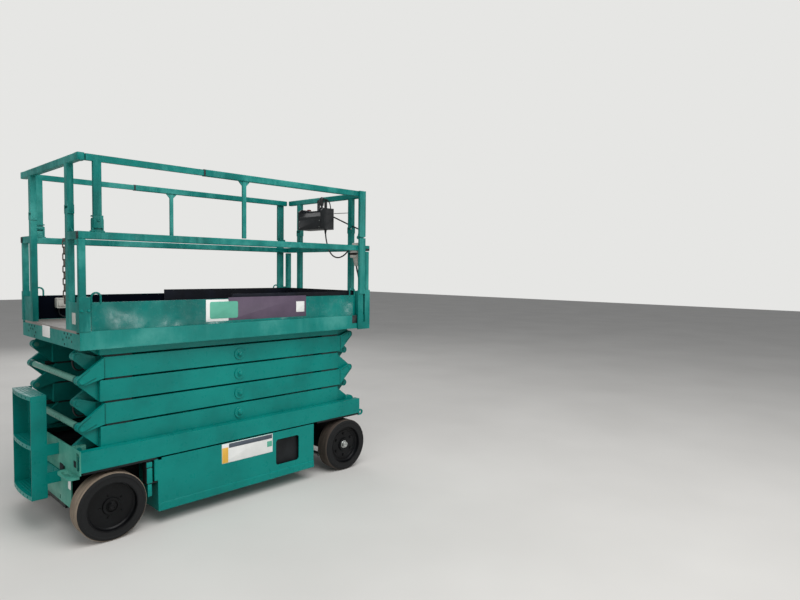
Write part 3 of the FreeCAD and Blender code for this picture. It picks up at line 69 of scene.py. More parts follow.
def place_camera():
    """Eye height of a standing person behind the rear right corner, as in the photograph."""
    place = Vector(EYE)
    yaw, pitch, roll = EYE_TURN
    forward = Vector((-math.sin(yaw) * math.cos(pitch), math.cos(yaw) * math.cos(pitch), math.sin(pitch)))
    across = Vector((math.cos(yaw), math.sin(yaw), 0))
    up = across.cross(forward)
    right_hand = math.cos(roll) * across + math.sin(roll) * up
    top = -math.sin(roll) * across + math.cos(roll) * up
    camera = new_object("camera", bpy.data.cameras.new("camera"))
    camera.data.sensor_width = SENSOR
    camera.data.lens = LENS
    camera.matrix_world = Matrix((
        (right_hand.x, top.x, -forward.x, place.x),
        (right_hand.y, top.y, -forward.y, place.y),
        (right_hand.z, top.z, -forward.z, place.z),
        (0, 0, 0, 1)))
    bpy.context.scene.camera = camera


def srgb(text):
    """Linear colour of an sRGB hex value."""
    values = [int(text[i:i + 2], 16) / 255 for i in (1, 3, 5)]
    linear = [v / 12.92 if v <= 0.04045 else ((v + 0.055) / 1.055) ** 2.4 for v in values]
    return (*linear, 1.0)


def add(material, kind, settings=None, **links):
    """One shader node with its settings; a link is socket=(node, output)."""
    tree = material.node_tree
    made = tree.nodes.new(kind)
    for name, value in (settings or {}).items():
        if name in made.inputs:
            made.inputs[name].default_value = value
        else:
            setattr(made, name, value)
    for name, (source, output) in links.items():
        tree.links.new(source.outputs[output], made.inputs[name.replace("_", " ")])
    return made


def join_to(material, source, output, target, socket):
    """Links an output of one shader node to a socket of another."""
    material.node_tree.links.new(source.outputs[output], target.inputs[socket])


def new_material(name):
    """Material with its main shader."""
    material = bpy.data.materials.new(name)
    material.use_nodes = True
    shader = material.node_tree.nodes["Principled BSDF"]
    return material, shader


def ramp_of(material, pattern, stops):
    """Ramp over a noise pattern; stops are (place, hex colour or grey value) pairs."""
    ramp = add(material, "ShaderNodeValToRGB", Fac=(pattern, "Fac"))
    elements = ramp.color_ramp.elements
    while len(elements) < len(stops):
        elements.new(0.5)
    for element, (place, shade) in zip(elements, stops):
        element.position = place
        element.color = srgb(shade) if isinstance(shade, str) else (shade, shade, shade, 1.0)
    return ramp


# Places of the colour sockets in a mix node, and of its result
UNDER, OVER, RESULT = 6, 7, 2


def mix(material, share, output, under, over):
    """Colour mix; under and over are each a (node, output) pair or a hex colour."""
    made = add(material, "ShaderNodeMix", {"data_type": "RGBA"})
    join_to(material, share, output, made, "Factor")
    for socket, colour in ((UNDER, under), (OVER, over)):
        if isinstance(colour, str):
            made.inputs[socket].default_value = srgb(colour)
        else:
            join_to(material, *colour, made, socket)
    return made


def noise(material, scale, detail=4.0, roughness=0.55, stretch=None):
    """Noise on object coordinates in metres; stretch is the scale of each axis."""
    place = (add(material, "ShaderNodeTexCoord"), "Object")
    if stretch:
        place = (add(material, "ShaderNodeMapping", {"Scale": stretch}, Vector=place), "Vector")
    return add(
        material, "ShaderNodeTexNoise",
        {"Scale": scale, "Detail": detail, "Roughness": roughness}, Vector=place)


def bump(material, pattern, strength, depth, target):
    """Bump of a noise pattern into the target's normal, with its depth in metres."""
    made = add(
        material, "ShaderNodeBump", {"Strength": strength, "Distance": depth}, Height=(pattern, "Fac"))
    join_to(material, made, "Normal", target, "Normal")
    return made


# Gloss of the enamel, its change where it is wiped or scuffed, and its depths in metres
ENAMEL_SHEEN, SHEET_SHEEN = 0.18, 0.32
WIPED, SCUFFED = 0.07, 0.16
RIPPLE_DEPTH, DENT_DEPTH, EDGE_ROUND = 0.0006, 0.05, 0.0025


def enamel(name, base, dusty, dark, rough=0.34, ripple=0.5, dust=0.5, dents=0.0):
    """Sprayed alkyd enamel on steel: glossy, slightly rippled, dusted and touched up in patches."""
    material, shader = new_material(name)
    patches = noise(material, 2.3, 5.0, 0.62)
    tone = ramp_of(material, patches, [(0.32, dark), (0.5, base), (0.72, dusty)])
    drips = noise(material, 9.0, 6.0, 0.7, (1.0, 1.0, 0.16))
    streak = ramp_of(material, drips, [(0.5, 0.0), (0.78, dust)])
    mixed = mix(material, streak, "Color", (tone, "Color"), dusty)
    join_to(material, mixed, RESULT, shader, "Base Color")
    wear = noise(material, 24.0, 3.0, 0.6)
    gloss = ramp_of(material, wear, [(0.3, rough - WIPED), (0.75, rough + SCUFFED)])
    join_to(material, gloss, "Color", shader, "Roughness")
    shader.inputs["IOR"].default_value = 1.5
    shader.inputs["Specular IOR Level"].default_value = SHEET_SHEEN if dents else ENAMEL_SHEEN
    # The ripple of sprayed enamel is about 3 mm across; it is drawn at 9 mm so that it shows
    peel = noise(material, 110.0, 2.0, 0.5)
    fine = bump(material, peel, ripple, RIPPLE_DEPTH, shader)
    if dents:
        # Thin sheet is dented in patches of 200 to 300 mm
        hollow = noise(material, 3.4, 1.0, 0.4)
        fine = bump(material, hollow, dents, DENT_DEPTH, fine)
    # Folded and welded edges are rounded, which catches the light
    rounded = add(material, "ShaderNodeBevel", {"Radius": EDGE_ROUND, "samples": 3})
    join_to(material, rounded, "Normal", fine, "Normal")
    return material


def maths(material, kind, first, second=None):
    """Maths node; first and second are each a (node, output) pair or a number."""
    made = add(material, "ShaderNodeMath", {"operation": kind})
    for socket, value in enumerate((first, second)):
        if isinstance(value, tuple):
            join_to(material, *value, made, socket)
        elif value is not None:
            made.inputs[socket].default_value = value
    return made


def share_past(material, axis, limit):
    """1 where a place lies further than limit from the origin along an axis, else 0."""
    where = add(material, "ShaderNodeTexCoord")
    parts = add(material, "ShaderNodeSeparateXYZ", Vector=(where, "Object"))
    reach = maths(material, "ABSOLUTE", (parts, axis))
    return maths(material, "GREATER_THAN", (reach, 0), limit)


def inner_colour(material, limit, text, top=None):
    """Another colour on what lies nearer the middle plane than limit, sideways, and under top."""
    shader = material.node_tree.nodes["Principled BSDF"]
    outside = shader.inputs["Base Color"].links[0].from_node
    share = share_past(material, "Y", limit)
    if top:
        share = maths(material, "MAXIMUM", (share, 0), (share_past(material, "Z", top), 0))
        # The inner coat is dull
        sheen = maths(material, "MULTIPLY", (share, 0), SHEET_SHEEN)
        join_to(material, sheen, 0, shader, "Specular IOR Level")
    mixed = mix(material, share, 0, text, (outside, RESULT))
    join_to(material, mixed, RESULT, shader, "Base Color")
    return material


# The tread of the tyres lies between these distances from the middle plane
TREAD_INNER, TREAD_OUTER = 0.4625, 0.5705


def rubber(name, base, dusty, wall="#111213"):
    """Moulded tyre rubber: matt, with floor dust on the tread between black sidewalls."""
    material, shader = new_material(name)
    grain = noise(material, 60.0, 5.0, 0.7)
    # Scuff lines run round the tread, about 12 mm apart
    rings = noise(material, 14.0, 3.0, 0.6, (0.4, 7.0, 0.4))
    tone = ramp_of(material, rings, [(0.32, base), (0.68, dusty)])
    dirt = ramp_of(material, grain, [(0.35, 0.0), (0.8, 0.5)])
    tread = mix(material, dirt, "Color", (tone, "Color"), base)
    outer, inner = share_past(material, "Y", TREAD_OUTER), share_past(material, "Y", TREAD_INNER)
    between = maths(material, "SUBTRACT", (inner, 0), (outer, 0))
    sides = mix(material, between, 0, wall, (tread, RESULT))
    join_to(material, sides, RESULT, shader, "Base Color")
    shader.inputs["Roughness"].default_value = 0.82
    shader.inputs["Specular IOR Level"].default_value = 0.35
    bump(material, grain, 0.5, 0.0015, shader)
    return material


def rolled_steel(name, base, dusty, rough=0.5):
    """Hot-rolled steel plate, walked on: scuffed, with grime in broad patches."""
    material, shader = new_material(name)
    patches = noise(material, 5.0, 8.0, 0.7)
    tone = ramp_of(material, patches, [(0.3, base), (0.7, dusty)])
    join_to(material, tone, "Color", shader, "Base Color")
    shader.inputs["Roughness"].default_value = rough
    scratches = noise(material, 45.0, 4.0, 0.6, (0.3, 1.6, 1.0))
    bump(material, scratches, 0.35, 0.0008, shader)
    return material


def bare_metal(name, base, dusty, rough):
    """Zinc-plated or ground steel: metallic, with fine brushed variation."""
    material, shader = new_material(name)
    brushed = noise(material, 70.0, 3.0, 0.5, (1.0, 6.0, 6.0))
    tone = ramp_of(material, brushed, [(0.3, base), (0.75, dusty)])
    join_to(material, tone, "Color", shader, "Base Color")
    shader.inputs["Metallic"].default_value = 1.0
    shader.inputs["Roughness"].default_value = rough
    bump(material, brushed, 0.2, 0.0004, shader)
    return material


def moulded(name, base, dusty, rough=0.5):
    """Injection-moulded plastic with a fine spark-eroded grain."""
    material, shader = new_material(name)
    grain = noise(material, 300.0, 2.0, 0.5)
    broad = noise(material, 7.0, 4.0, 0.6)
    tone = ramp_of(material, broad, [(0.35, base), (0.75, dusty)])
    join_to(material, tone, "Color", shader, "Base Color")
    shader.inputs["Roughness"].default_value = rough
    bump(material, grain, 0.3, 0.0003, shader)
    return material


def make_finishes():
    """Every finish of the machine, by a plain name."""
    return {
        "teal": enamel("teal_enamel", "#007a72", "#03847b", "#006b64", 0.3, 0.5, 0.15),
        "arm_teal": inner_colour(
            enamel("arm_teal_enamel", "#007a72", "#03847b", "#006b64", 0.3, 0.5, 0.15), 0.430, "#578e7f"),
        # The inner arms and their cross tubes are a darker teal than the outer ones: painted shade inside the
        # stack
        "shaded_inner_arm_teal": inner_colour(
            enamel("inner_arm_painted_shade_teal_enamel", "#006e67", "#1c7f77", "#005a54", 0.4, 0.5, 0.25),
            0.370, "#3f766a"),
        "toe_teal": inner_colour(
            enamel("toe_board_teal_enamel", "#006d66", "#12877d", "#005a54", 0.2, 0.4, 0.3, 1.0),
            0.5436, "#090c14", 1.433),
        "channel_teal": enamel("channel_teal_enamel", "#127c74", "#4a9a91", "#046f67", 0.34, 0.6, 0.45),
        "rail_teal": enamel("rail_teal_enamel", "#03716a", "#48a097", "#005a54", 0.36, 0.8, 0.7),
        # Lighter, greyer teal on the rear bulkhead: painted glare of its rear-facing face
        "glare_lit_teal": enamel("rear_glare_teal_enamel", "#438c7c", "#69aa98", "#307c6e", 0.4, 0.5, 0.5),
        "black": enamel("black_enamel", "#101214", "#26292b", "#08090a", 0.45, 0.4, 0.2),
        "rim": enamel("rim_black_enamel", "#090a0c", "#16181a", "#050607", 0.34, 0.4, 0.2),
        "seam": enamel("weld_shadow_enamel", "#005750", "#17776e", "#00453f", 0.45, 0.4, 0.2),
        # Near-black: the own paint of the toe boards' inner faces, and also painted shadow in bolt holes and
        # open ends
        "inside": enamel("toe_board_inner_and_hole_shadow_enamel", "#090c14", "#141926", "#06080d", 0.5, 0.4, 0.2),
        "tyre_tan": rubber("dusty_tyre_rubber", "#5a4f42", "#978878"),
        "tyre": rubber("tyre_rubber", "#352e29", "#574c43"),
        "deck": rolled_steel("deck_steel_plate", "#6a6663", "#858079"),
        "steel": bare_metal("zinc_plated_steel", "#a9adab", "#c9ccc8", 0.38),
        "chain": bare_metal("dull_steel_chain", "#57524c", "#7b756e", 0.45),
        "chrome": bare_metal("hard_chrome_rod", "#cfd2d4", "#e2e4e6", 0.12),
        "plastic": moulded("black_abs", "#0b0d0f", "#191c1f", 0.42),
        # Black rubber, and also painted shadow in the gaps between lugs and tube collars
        "pad": moulded("black_rubber_and_gap_shadow", "#0a0b0b", "#171818", 0.7),
        "label": moulded("white_vinyl_film", "#d8d9d6", "#e6e6e3", 0.5),
        "label_grey": moulded("grey_vinyl_film", "#a3a69f", "#b7b9b2", 0.55),
        "label_yellow": moulded("yellow_vinyl_film", "#d9a73c", "#e4b850", 0.5),
        "label_dark": moulded("dark_vinyl_film", "#3d4550", "#4c5560", 0.5),
        "label_plum": moulded("plum_vinyl_film", "#4b3d50", "#5a4a5e", 0.45),
        "label_green": moulded("pale_green_vinyl_film", "#4fa089", "#5fb097", 0.5),
        "grey_box": moulded("grey_pvc", "#b5b3ab", "#c9c7bf", 0.55),
        "red_plastic": moulded("dark_red_abs", "#4a1714", "#5a211c", 0.45),
    }


def dress_nodes():
    """Gives each node of the frame its finish."""
    wanted = {
        "teal": "chassis_rails ladder module_tray_left module_tray_right",
        "glare_lit_teal": "rear_bulkhead",
        "channel_teal": "platform_frame",
        "toe_teal": "toe_boards",
        "rail_teal": "guard_posts_main extension_corner_posts extension_end_posts guard_rear guard_front"
                     " guard_side_rear_left guard_side_rear_right guard_side_front_left"
                     " guard_side_front_right",
        "arm_teal": "outer_arms_1 outer_arms_2 outer_arms_3 outer_arms_4 outer_arms_5",
        "shaded_inner_arm_teal": "inner_arms_1 inner_arms_2 inner_arms_3 inner_arms_4 inner_arms_5",
        "black": "chassis_spine rear_axle_stubs front_axle_arms knuckle_left knuckle_right battery_pack"
                 " hydraulic_unit cylinder_barrel_lower cylinder_barrel_upper",
        "inside": "extension_toe_boards",
        "rim": "rim_rear_left rim_rear_right rim_front_left rim_front_right",
        "tyre_tan": "tyre_rear_left tyre_rear_right",
        "tyre": "tyre_front_left tyre_front_right",
        "deck": "platform_deck extension_deck",
        "steel": "tie_rod",
        "chrome": "cylinder_rod_lower cylinder_rod_upper",
        "chain": "access_chain",
        "plastic": "control_box joystick",
        "grey_box": "outlet_box",
    }
    for finish, names in wanted.items():
        for name in names.split():
            mesh = nodes[name].data
            mesh.materials.clear()
            mesh.materials.append(finishes[finish])


def floor_and_light():
    """Pale floor, bright surroundings, and the windows and lamps of the hall."""
    bpy.ops.object.select_all(action="DESELECT")
    bpy.ops.mesh.primitive_plane_add(size=60, location=(0, 0, -0.0005))
    floor = bpy.context.object
    floor.name = "floor"
    material, shader = new_material("pale_floor")
    shade = noise(material, 0.8, 3.0, 0.5)
    tone = ramp_of(material, shade, [(0.3, "#cfcdc9"), (0.7, "#d6d4d0")])
    join_to(material, tone, "Color", shader, "Base Color")
    shader.inputs["Roughness"].default_value = 0.7
    shader.inputs["Specular IOR Level"].default_value = 0.1
    floor.data.materials.append(material)

    world = bpy.data.worlds.new("studio")
    world.use_nodes = True
    bpy.context.scene.world = world
    # The camera sees a brighter background than the one that lights the machine
    lit = world.node_tree.nodes["Background"]
    lit.inputs["Color"].default_value = srgb("#e9ebee")
    lit.inputs["Strength"].default_value = 0.36
    seen = add(world, "ShaderNodeBackground", {"Color": srgb("#e6e6e4"), "Strength": 1.0})
    path = add(world, "ShaderNodeLightPath")
    chosen = add(world, "ShaderNodeMixShader", Fac=(path, "Is Camera Ray"))
    join_to(world, lit, 0, chosen, 1)
    join_to(world, seen, 0, chosen, 2)
    join_to(world, chosen, 0, world.node_tree.nodes["World Output"], "Surface")

    lamps = (
        # name, place, size, watts
        ("roof_light", (-0.5, -4.5, 6.5), 6.0, 450.0),
        ("far_windows", (2.0, 7.0, 5.0), 6.0, 160.0),
        ("rear_fill", (-6.0, -1.0, 3.0), 4.0, 90.0),
        ("side_windows", (3.4, -8.8, 1.7), 1.3, 80.0),
        ("corner_windows", (9.0, -10.0, 2.6), 1.6, 60.0),
    )
    for name, place, size, watts in lamps:
        lamp = bpy.data.lights.new(name, "AREA")
        lamp.size = size
        lamp.energy = watts
        item = new_object(name, lamp)
        item.location = place
        item.rotation_euler = (Vector(UP) - Vector(place)).to_track_quat("-Z", "Y").to_euler()
    bpy.context.scene.view_settings.view_transform = "Standard"


# Modelling helpers

# The platform's rear end lies this far behind the origin
REAR_END = 1.0425
# Edges that turn by more than this many degrees are rounded
SHARP_ANGLE = 30


def row(x, y, z):
    """Place measured from the platform's rear end, in metres, in the frame of the part."""
    return Vector((x - REAR_END, y, z))


def alone(item):
    """Selects one object and makes it active."""
    bpy.ops.object.select_all(action="DESELECT")
    item.select_set(True)
    bpy.context.view_layer.objects.active = item


def settle(item):
    """Puts an object's place and size into its mesh."""
    alone(item)
    bpy.ops.object.transform_apply(location=True, rotation=True, scale=True)
    return item


def edit(item, kind, chosen, work):
    """Runs the work on the faces or edges that chosen accepts."""
    alone(item)
    bpy.ops.object.mode_set(mode="EDIT")
    bpy.ops.mesh.select_mode(type=kind)
    bpy.ops.mesh.select_all(action="DESELECT")
    mesh = bmesh.from_edit_mesh(item.data)
    for part in (mesh.faces if kind == "FACE" else mesh.edges):
        if chosen(part):
            part.select_set(True)
    bmesh.update_edit_mesh(item.data)
    work()
    bpy.ops.object.mode_set(mode="OBJECT")


def along(edge, axis):
    """Whether an edge runs along an axis."""
    return abs((edge.verts[0].co - edge.verts[1].co).normalized()[axis]) > 0.99


def ease(item, width, segments=2):
    """Rounds the sharp edges."""
    alone(item)
    bevel = item.modifiers.new("eased edges", "BEVEL")
    bevel.width = width
    bevel.segments = segments
    bevel.limit_method = "ANGLE"
    bevel.angle_limit = math.radians(SHARP_ANGLE)
    bpy.ops.object.modifier_apply(modifier=bevel.name)
    return item


def slab(low, high, axis=None, corner=0.0, edge=0.0):
    """Block between two corners, its corners rounded across one axis and then its edges eased."""
    low, high = Vector(low), Vector(high)
    bpy.ops.object.select_all(action="DESELECT")
    bpy.ops.mesh.primitive_cube_add(size=1, location=(low + high) / 2)
    item = bpy.context.object
    item.scale = high - low
    settle(item)
    if corner:
        edit(item, "EDGE", lambda e: along(e, axis), lambda: bpy.ops.mesh.bevel(offset=corner, segments=4))
    if edge:
        ease(item, edge)
    return item


def side_slab(sign, x, y, z, axis=None, corner=0.0, edge=0.0):
    """Block at the left side (sign 1) or right side (-1); x, y and z are the left one's ranges."""
    near, far = sorted((sign * y[0], sign * y[1]))
    return slab(row(x[0], near, z[0]), row(x[1], far, z[1]), axis, corner, edge)


def turned(centre, axis, sides, steps, edge=0.0):
    """Knob of round or flat-sided (radius, rise) steps; a step sinks where its rise is negative."""
    centre, axis = Vector(centre), Vector(axis).normalized()
    radius, rise = steps[0]
    bpy.ops.object.select_all(action="DESELECT")
    bpy.ops.mesh.primitive_cylinder_add(
        vertices=sides, radius=radius, depth=rise, location=centre + axis * rise / 2,
        rotation=axis.to_track_quat("Z", "Y").to_euler())
    item = settle(bpy.context.object)
    height = centre.dot(axis) + rise
    for wider, rise in steps[1:]:
        inset = radius - wider

        def raise_face():
            if inset > 0:
                bpy.ops.mesh.inset(thickness=inset)
            bpy.ops.mesh.extrude_region_move(TRANSFORM_OT_translate={"value": axis * rise})

        edit(item, "FACE", lambda f: f.normal.dot(axis) > 0.9 and abs(
            f.calc_center_median().dot(axis) - height) < 1e-5 and len(f.verts) == sides, raise_face)
        height += rise
        radius = wider
    return ease(item, edge) if edge else item


def bolted(place, sign, parts):
    """Washer, nut and tip on a side face; parts are (distance outwards, sides, steps, edge)."""
    return [
        turned(place + Vector((0, sign * out, 0)), (0, sign, 0), sides, steps, edge)
        for out, sides, steps, edge in parts]


def curve_along(name, points, radius, across, resolution, smooth=True, swell=None):
    """Curve object along a line of points, with a round section."""
    curve = bpy.data.curves.new(name, "CURVE")
    curve.dimensions = "3D"
    curve.bevel_depth = radius
    curve.bevel_resolution = across
    curve.resolution_u = resolution
    curve.use_fill_caps = True
    spline = curve.splines.new("NURBS" if smooth else "POLY")
    spline.points.add(len(points) - 1)
    for index, (point, place) in enumerate(zip(spline.points, points)):
        point.co = (*place, 1.0)
        point.radius = swell(index) if swell else 1.0
    if smooth:
        spline.order_u = 3
        spline.use_endpoint_u = True
    return new_object(name, curve)


def rod(points, radius, smooth=True, swell=None, resolution=2, across=1):
    """Round bar along a line of points; swell gives each point's share of the radius."""
    alone(curve_along("line", points, radius, across, resolution, smooth, swell))
    bpy.ops.object.convert(target="MESH")
    return bpy.context.object


def bead(start, end, radius):
    """Weld bead: a row of overlapping ripples, about one every 4 mm."""
    start, end = Vector(start), Vector(end)
    count = max(3, int((end - start).length / 0.004))
    line = [start.lerp(end, k / count) for k in range(count + 1)]
    return rod(line, radius, False, lambda k: (1.0, 0.78, 1.12, 0.84)[k % 4])


def finish_piece(item, name, body, finish, angle=35):
    """Makes one piece of an object or a list of them, with its name, finish, slot and body."""
    if isinstance(item, list):
        bpy.ops.object.select_all(action="DESELECT")
        for part in item:
            part.select_set(True)
        bpy.context.view_layer.objects.active = item[0]
        bpy.ops.object.join()
        item = bpy.context.object
    item.name = name
    item.data.name = name
    item.data.materials.clear()
    item.data.materials.append(finishes[finish])
    settle(item)
    bpy.ops.object.shade_smooth_by_angle(angle=math.radians(angle))
    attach(item, body)
    return item


def spun(outline, centre, axis, sides=28):
    """Body of revolution; the outline is (distance along the axis, radius) points."""
    centre, axis = Vector(centre), Vector(axis).normalized()
    across = axis.orthogonal().normalized()
    points = [centre + axis * rise + across * max(radius, 0.00005) for rise, radius in outline]
    mesh = bpy.data.meshes.new("outline")
    mesh.from_pydata(points, [(k, k + 1) for k in range(len(points) - 1)], [])
    item = new_object("outline", mesh)
    alone(item)
    bpy.ops.object.mode_set(mode="EDIT")
    bpy.ops.mesh.select_all(action="SELECT")
    bpy.ops.mesh.spin(steps=sides, angle=math.tau, center=centre, axis=axis)
    bpy.ops.mesh.select_all(action="SELECT")
    bpy.ops.mesh.remove_doubles(threshold=0.0002)
    bpy.ops.mesh.normals_make_consistent(inside=False)
    bpy.ops.object.mode_set(mode="OBJECT")
    return item


def cord_line(name, points, radius):
    """NURBS curve on its given control points, with its round section, in black plastic."""
    item = curve_along(name, [row(*place) for place in points], radius, 3, 8)
    item.data.materials.append(finishes["plastic"])
    return item


def line_of(cord):
    """Points along a cord's own line."""
    curve = cord.data
    radius, curve.bevel_depth = curve.bevel_depth, 0.0
    bpy.context.view_layer.update()
    mesh = bpy.data.meshes.new_from_object(cord.evaluated_get(bpy.context.evaluated_depsgraph_get()))
    curve.bevel_depth = radius
    bpy.context.view_layer.update()
    points = [tuple(vertex.co) for vertex in mesh.vertices]
    bpy.data.meshes.remove(mesh)
    return points


# Signs, left blank

FILM = 0.0012
BOARD_FACE, CHANNEL_FACE, PANEL_FACE = 0.5456, 0.5676, 0.562


def blank_signs():
    """Film and sheet where the machine carries its signs, with nothing on them."""
    rear_faces = (
        # name, body, finish, how far the face lies behind the rear end, y range, z range
        ("rear_end_sign", "platform", "label", 0.0, (-0.029, 0.124), (1.187, 1.261)),
        ("corner_post_sign", "platform", "label_grey", 0.0, (-0.503, -0.443), (1.306, 1.373)),
        ("bulkhead_sign", "chassis", "label", 0.002, (-0.382, -0.335), (0.300, 0.372)),
    )
    for name, body, finish, face, y, z in rear_faces:
        item = slab(row(-face - FILM, y[0], z[0]), row(-face, y[1], z[1]), 0, 0.004, 0.0003)
        finish_piece(item, name, body, finish)
    right_faces = (
        # name, body, finish, distance of the face, which film on it, x range, z range, corner radius
        ("fleet_square", "platform", "plastic", CHANNEL_FACE, 1, (2.076, 2.144), (1.203, 1.267), 0.002),
        ("banner_light", "platform", "label", BOARD_FACE, 1, (0.790, 0.957), (1.282, 1.430), 0.002),
        ("banner_long", "platform", "label_plum", BOARD_FACE, 1, (0.957, 1.620), (1.284, 1.442), 0.002),
        ("banner_panel", "platform", "label_green", BOARD_FACE, 2, (0.818, 1.030), (1.300, 1.415), 0.012),
        ("banner_square", "platform", "label", BOARD_FACE, 2, (1.527, 1.603), (1.318, 1.398), 0.002),
        ("panel_sign", "module_right", "label", PANEL_FACE, 1, (0.894, 1.306), (0.296, 0.432), 0.003),
        ("panel_sign_header", "module_right", "label_dark", PANEL_FACE, 2,
         (0.948, 1.300), (0.398, 0.428), 0.001),
        ("panel_sign_strip", "module_right", "label_yellow", PANEL_FACE, 2,
         (0.896, 0.942), (0.298, 0.404), 0.001),
        ("panel_sign_square", "module_right", "label_green", PANEL_FACE, 2,
         (1.258, 1.300), (0.340, 0.380), 0.001),
    )
    for name, body, finish, face, film, x, z, corner in right_faces:
        low = row(x[0], -face - film * FILM, z[0])
        high = row(x[1], -face - (film - 1) * FILM, z[1])
        finish_piece(slab(low, high, 1, corner, 0.0003), name, body, finish)


# Scissor stack

PIN_REAR, PIN_FRONT = 0.029, 2.109
PIN_MIDDLE = (PIN_REAR + PIN_FRONT) / 2
FIRST_PIN, STAGE_RISE, ARM_DEPTH = 0.5495, 0.1395, 0.127
LOW_TAPER, HIGH_TAPER = 0.128, 0.101
OUTER_LAYER, INNER_LAYER = (0.440, 0.500), (0.372, 0.432)
LAYERS = (("outer", OUTER_LAYER), ("inner", INNER_LAYER))
TOP_PIN_INWARD, TOP_PIN_DROP = 0.012, 0.040
BOSS_FACE = 0.507
# Distance outwards, sides, (radius, rise) steps and edge of the washer, the head and the tip
BOSS_BOLT = (
    (0, 32, [(0.0235, 0.0025)], 0.0006),
    (0.0025, 6, [(0.017, 0.010)], 0.0012),
    (0.0125, 20, [(0.0095, 0.004)], 0.0012),
)
BEAD_RADIUS, SEAM_RADIUS = 0.0028, 0.0021
SEAM_FACE, SEAM_BEND, SEAM_REACH, SEAM_SPREAD = 0.5004, 0.0225, 0.074, 0.030
COLLAR_START, COLLAR_STEPS = 0.4345, [(0.0255, 0.014), (0.0230, 0.012)]
# Black ring in the gap between lug and collar: a painted shadow
GAP_SHADOW_START, GAP_SHADOW_STEPS = 0.4395, [(0.0275, 0.0045)]
PAD_LENGTH, PAD_BOTTOM, PAD_TOP = 0.16, -0.0005, 0.0108
WEAR_PLATE_X, WEAR_PLATE_Y = (0.066, 0.150), (0.4335, 0.4405)


def stage_middle(stage):
    """Height of a stage's centre bolts."""
    return FIRST_PIN + (stage - 0.5) * STAGE_RISE


def boss_bolts():
    """Bolt with its washer in each centre boss."""
    for stage in range(1, 6):
        for name, sign in SIDES:
            place = row(PIN_MIDDLE, sign * BOSS_FACE, stage_middle(stage))
            finish_piece(
                bolted(place, sign, BOSS_BOLT), "boss_bolt_%d_%s" % (stage, name),
                "inner_pair_%d" % stage, "teal")


def arm_welds():
    """Beads where the end plates enter the bars."""
    for stage in range(1, 6):
        odd = stage % 2 == 1
        middle = stage_middle(stage)
        low, high = middle - ARM_DEPTH / 2 + 0.004, middle + ARM_DEPTH / 2 - 0.004
        for pair, layer in LAYERS:
            rear_low = odd if pair == "inner" else not odd
            face = (layer[0] + layer[1]) / 2 - 0.002 if odd else layer[1]
            rear_x = PIN_REAR + (LOW_TAPER if rear_low else HIGH_TAPER)
            front_x = PIN_FRONT - (HIGH_TAPER if rear_low else LOW_TAPER)
            items = []
            for x in (rear_x, front_x):
                for sign in (1, -1):
                    items.append(bead(row(x, sign * face, low), row(x, sign * face, high), BEAD_RADIUS))
            finish_piece(
                items, "arm_welds_%s_%d" % (pair, stage), "%s_pair_%d" % (pair, stage),
                "seam", 60)


def level(stage):
    """Height of the end pins above a stage."""
    return FIRST_PIN + stage * STAGE_RISE


def tube_places(stage):
    """Pins at which an outer pair carries cross tubes; the top one sits inwards and lower."""
    x = PIN_REAR if stage % 2 == 1 else PIN_FRONT
    if stage == 5:
        return [(x + TOP_PIN_INWARD, level(stage) - TOP_PIN_DROP)]
    if stage == 1:
        return [(x, level(stage)), (PIN_FRONT, level(0))]
    return [(x, level(stage))]


def lug_outlines():
    """U-shaped weld round each pin of the outer arms whose plates face outwards."""
    for stage in (2, 4):
        items = []
        for x, z, inward in ((PIN_REAR, level(stage - 1), 1), (PIN_FRONT, level(stage), -1)):
            goal = Vector((x + inward * 0.115, 0, stage_middle(stage)))
            run = (goal - Vector((x, 0, z))).normalized()
            side = Vector((-run.z, 0, run.x))
            for sign in (1, -1):
                centre = row(x, sign * SEAM_FACE, z)
                line = [centre + run * SEAM_REACH + side * SEAM_SPREAD]
                for k in range(13):
                    turn = math.pi / 2 + math.pi * k / 12
                    line.append(centre + SEAM_BEND * (run * math.cos(turn) + side * math.sin(turn)))
                line.append(centre + run * SEAM_REACH - side * SEAM_SPREAD)
                items.append(rod(line, SEAM_RADIUS, False))
        finish_piece(
            items, "lug_outlines_%d" % stage, "outer_pair_%d" % stage, "seam", 60)


def tube_rings(name, start, steps, edge, finish):
    """Rings at both ends of each cross tube of the outer arms, built inwards from start."""
    for stage in range(1, 6):
        items = []
        for x, z in tube_places(stage):
            for sign in (1, -1):
                items.append(turned(row(x, sign * start, z), (0, -sign, 0), 28, steps, edge))
        finish_piece(items, "%s_%d" % (name, stage), "outer_pair_%d" % stage, finish)


def rest_pads():
    """Rubber pads on top of the arms, on which the next arms rest when stowed."""
    reach = max(LOW_TAPER, HIGH_TAPER) + 0.004
    rear = (PIN_REAR + reach, PIN_REAR + reach + PAD_LENGTH)
    front = (PIN_FRONT - reach - PAD_LENGTH, PIN_FRONT - reach)
    for stage in range(1, 5):
        top = stage_middle(stage) + ARM_DEPTH / 2
        rise = (top + PAD_BOTTOM, top + PAD_TOP)
        for pair, layer in LAYERS:
            across = (layer[0] + 0.003, layer[1] - 0.006)
            items = [
                side_slab(sign, span, across, rise, 1, 0.003, 0.001)
                for sign in (1, -1) for span in (rear, front)]
            finish_piece(
                items, "rest_pads_%s_%d" % (pair, stage), "%s_pair_%d" % (pair, stage),
                "pad")


def hose_loops():
    """Hydraulic hose in a loop below the inner pin at the rear right, from a clip to the pin."""
    for stage in (2, 4):
        z = level(stage)
        y = -0.358
        hose = rod([
            row(PIN_REAR, -0.366, z), row(0.022, y, z - 0.030), row(0.030, y, z - 0.078),
            row(0.066, y, z - 0.098), row(0.106, y, z - 0.072), row(0.128, -0.362, z - 0.026)],
            0.0055, resolution=6, across=2)
        clip = slab(row(0.102, -0.3735, z - 0.034), row(0.150, -0.352, z - 0.010), 1, 0.004, 0.0015)
        finish_piece(
            [hose, clip], "hose_loop_%d" % stage, "inner_pair_%d" % stage, "pad", 60)


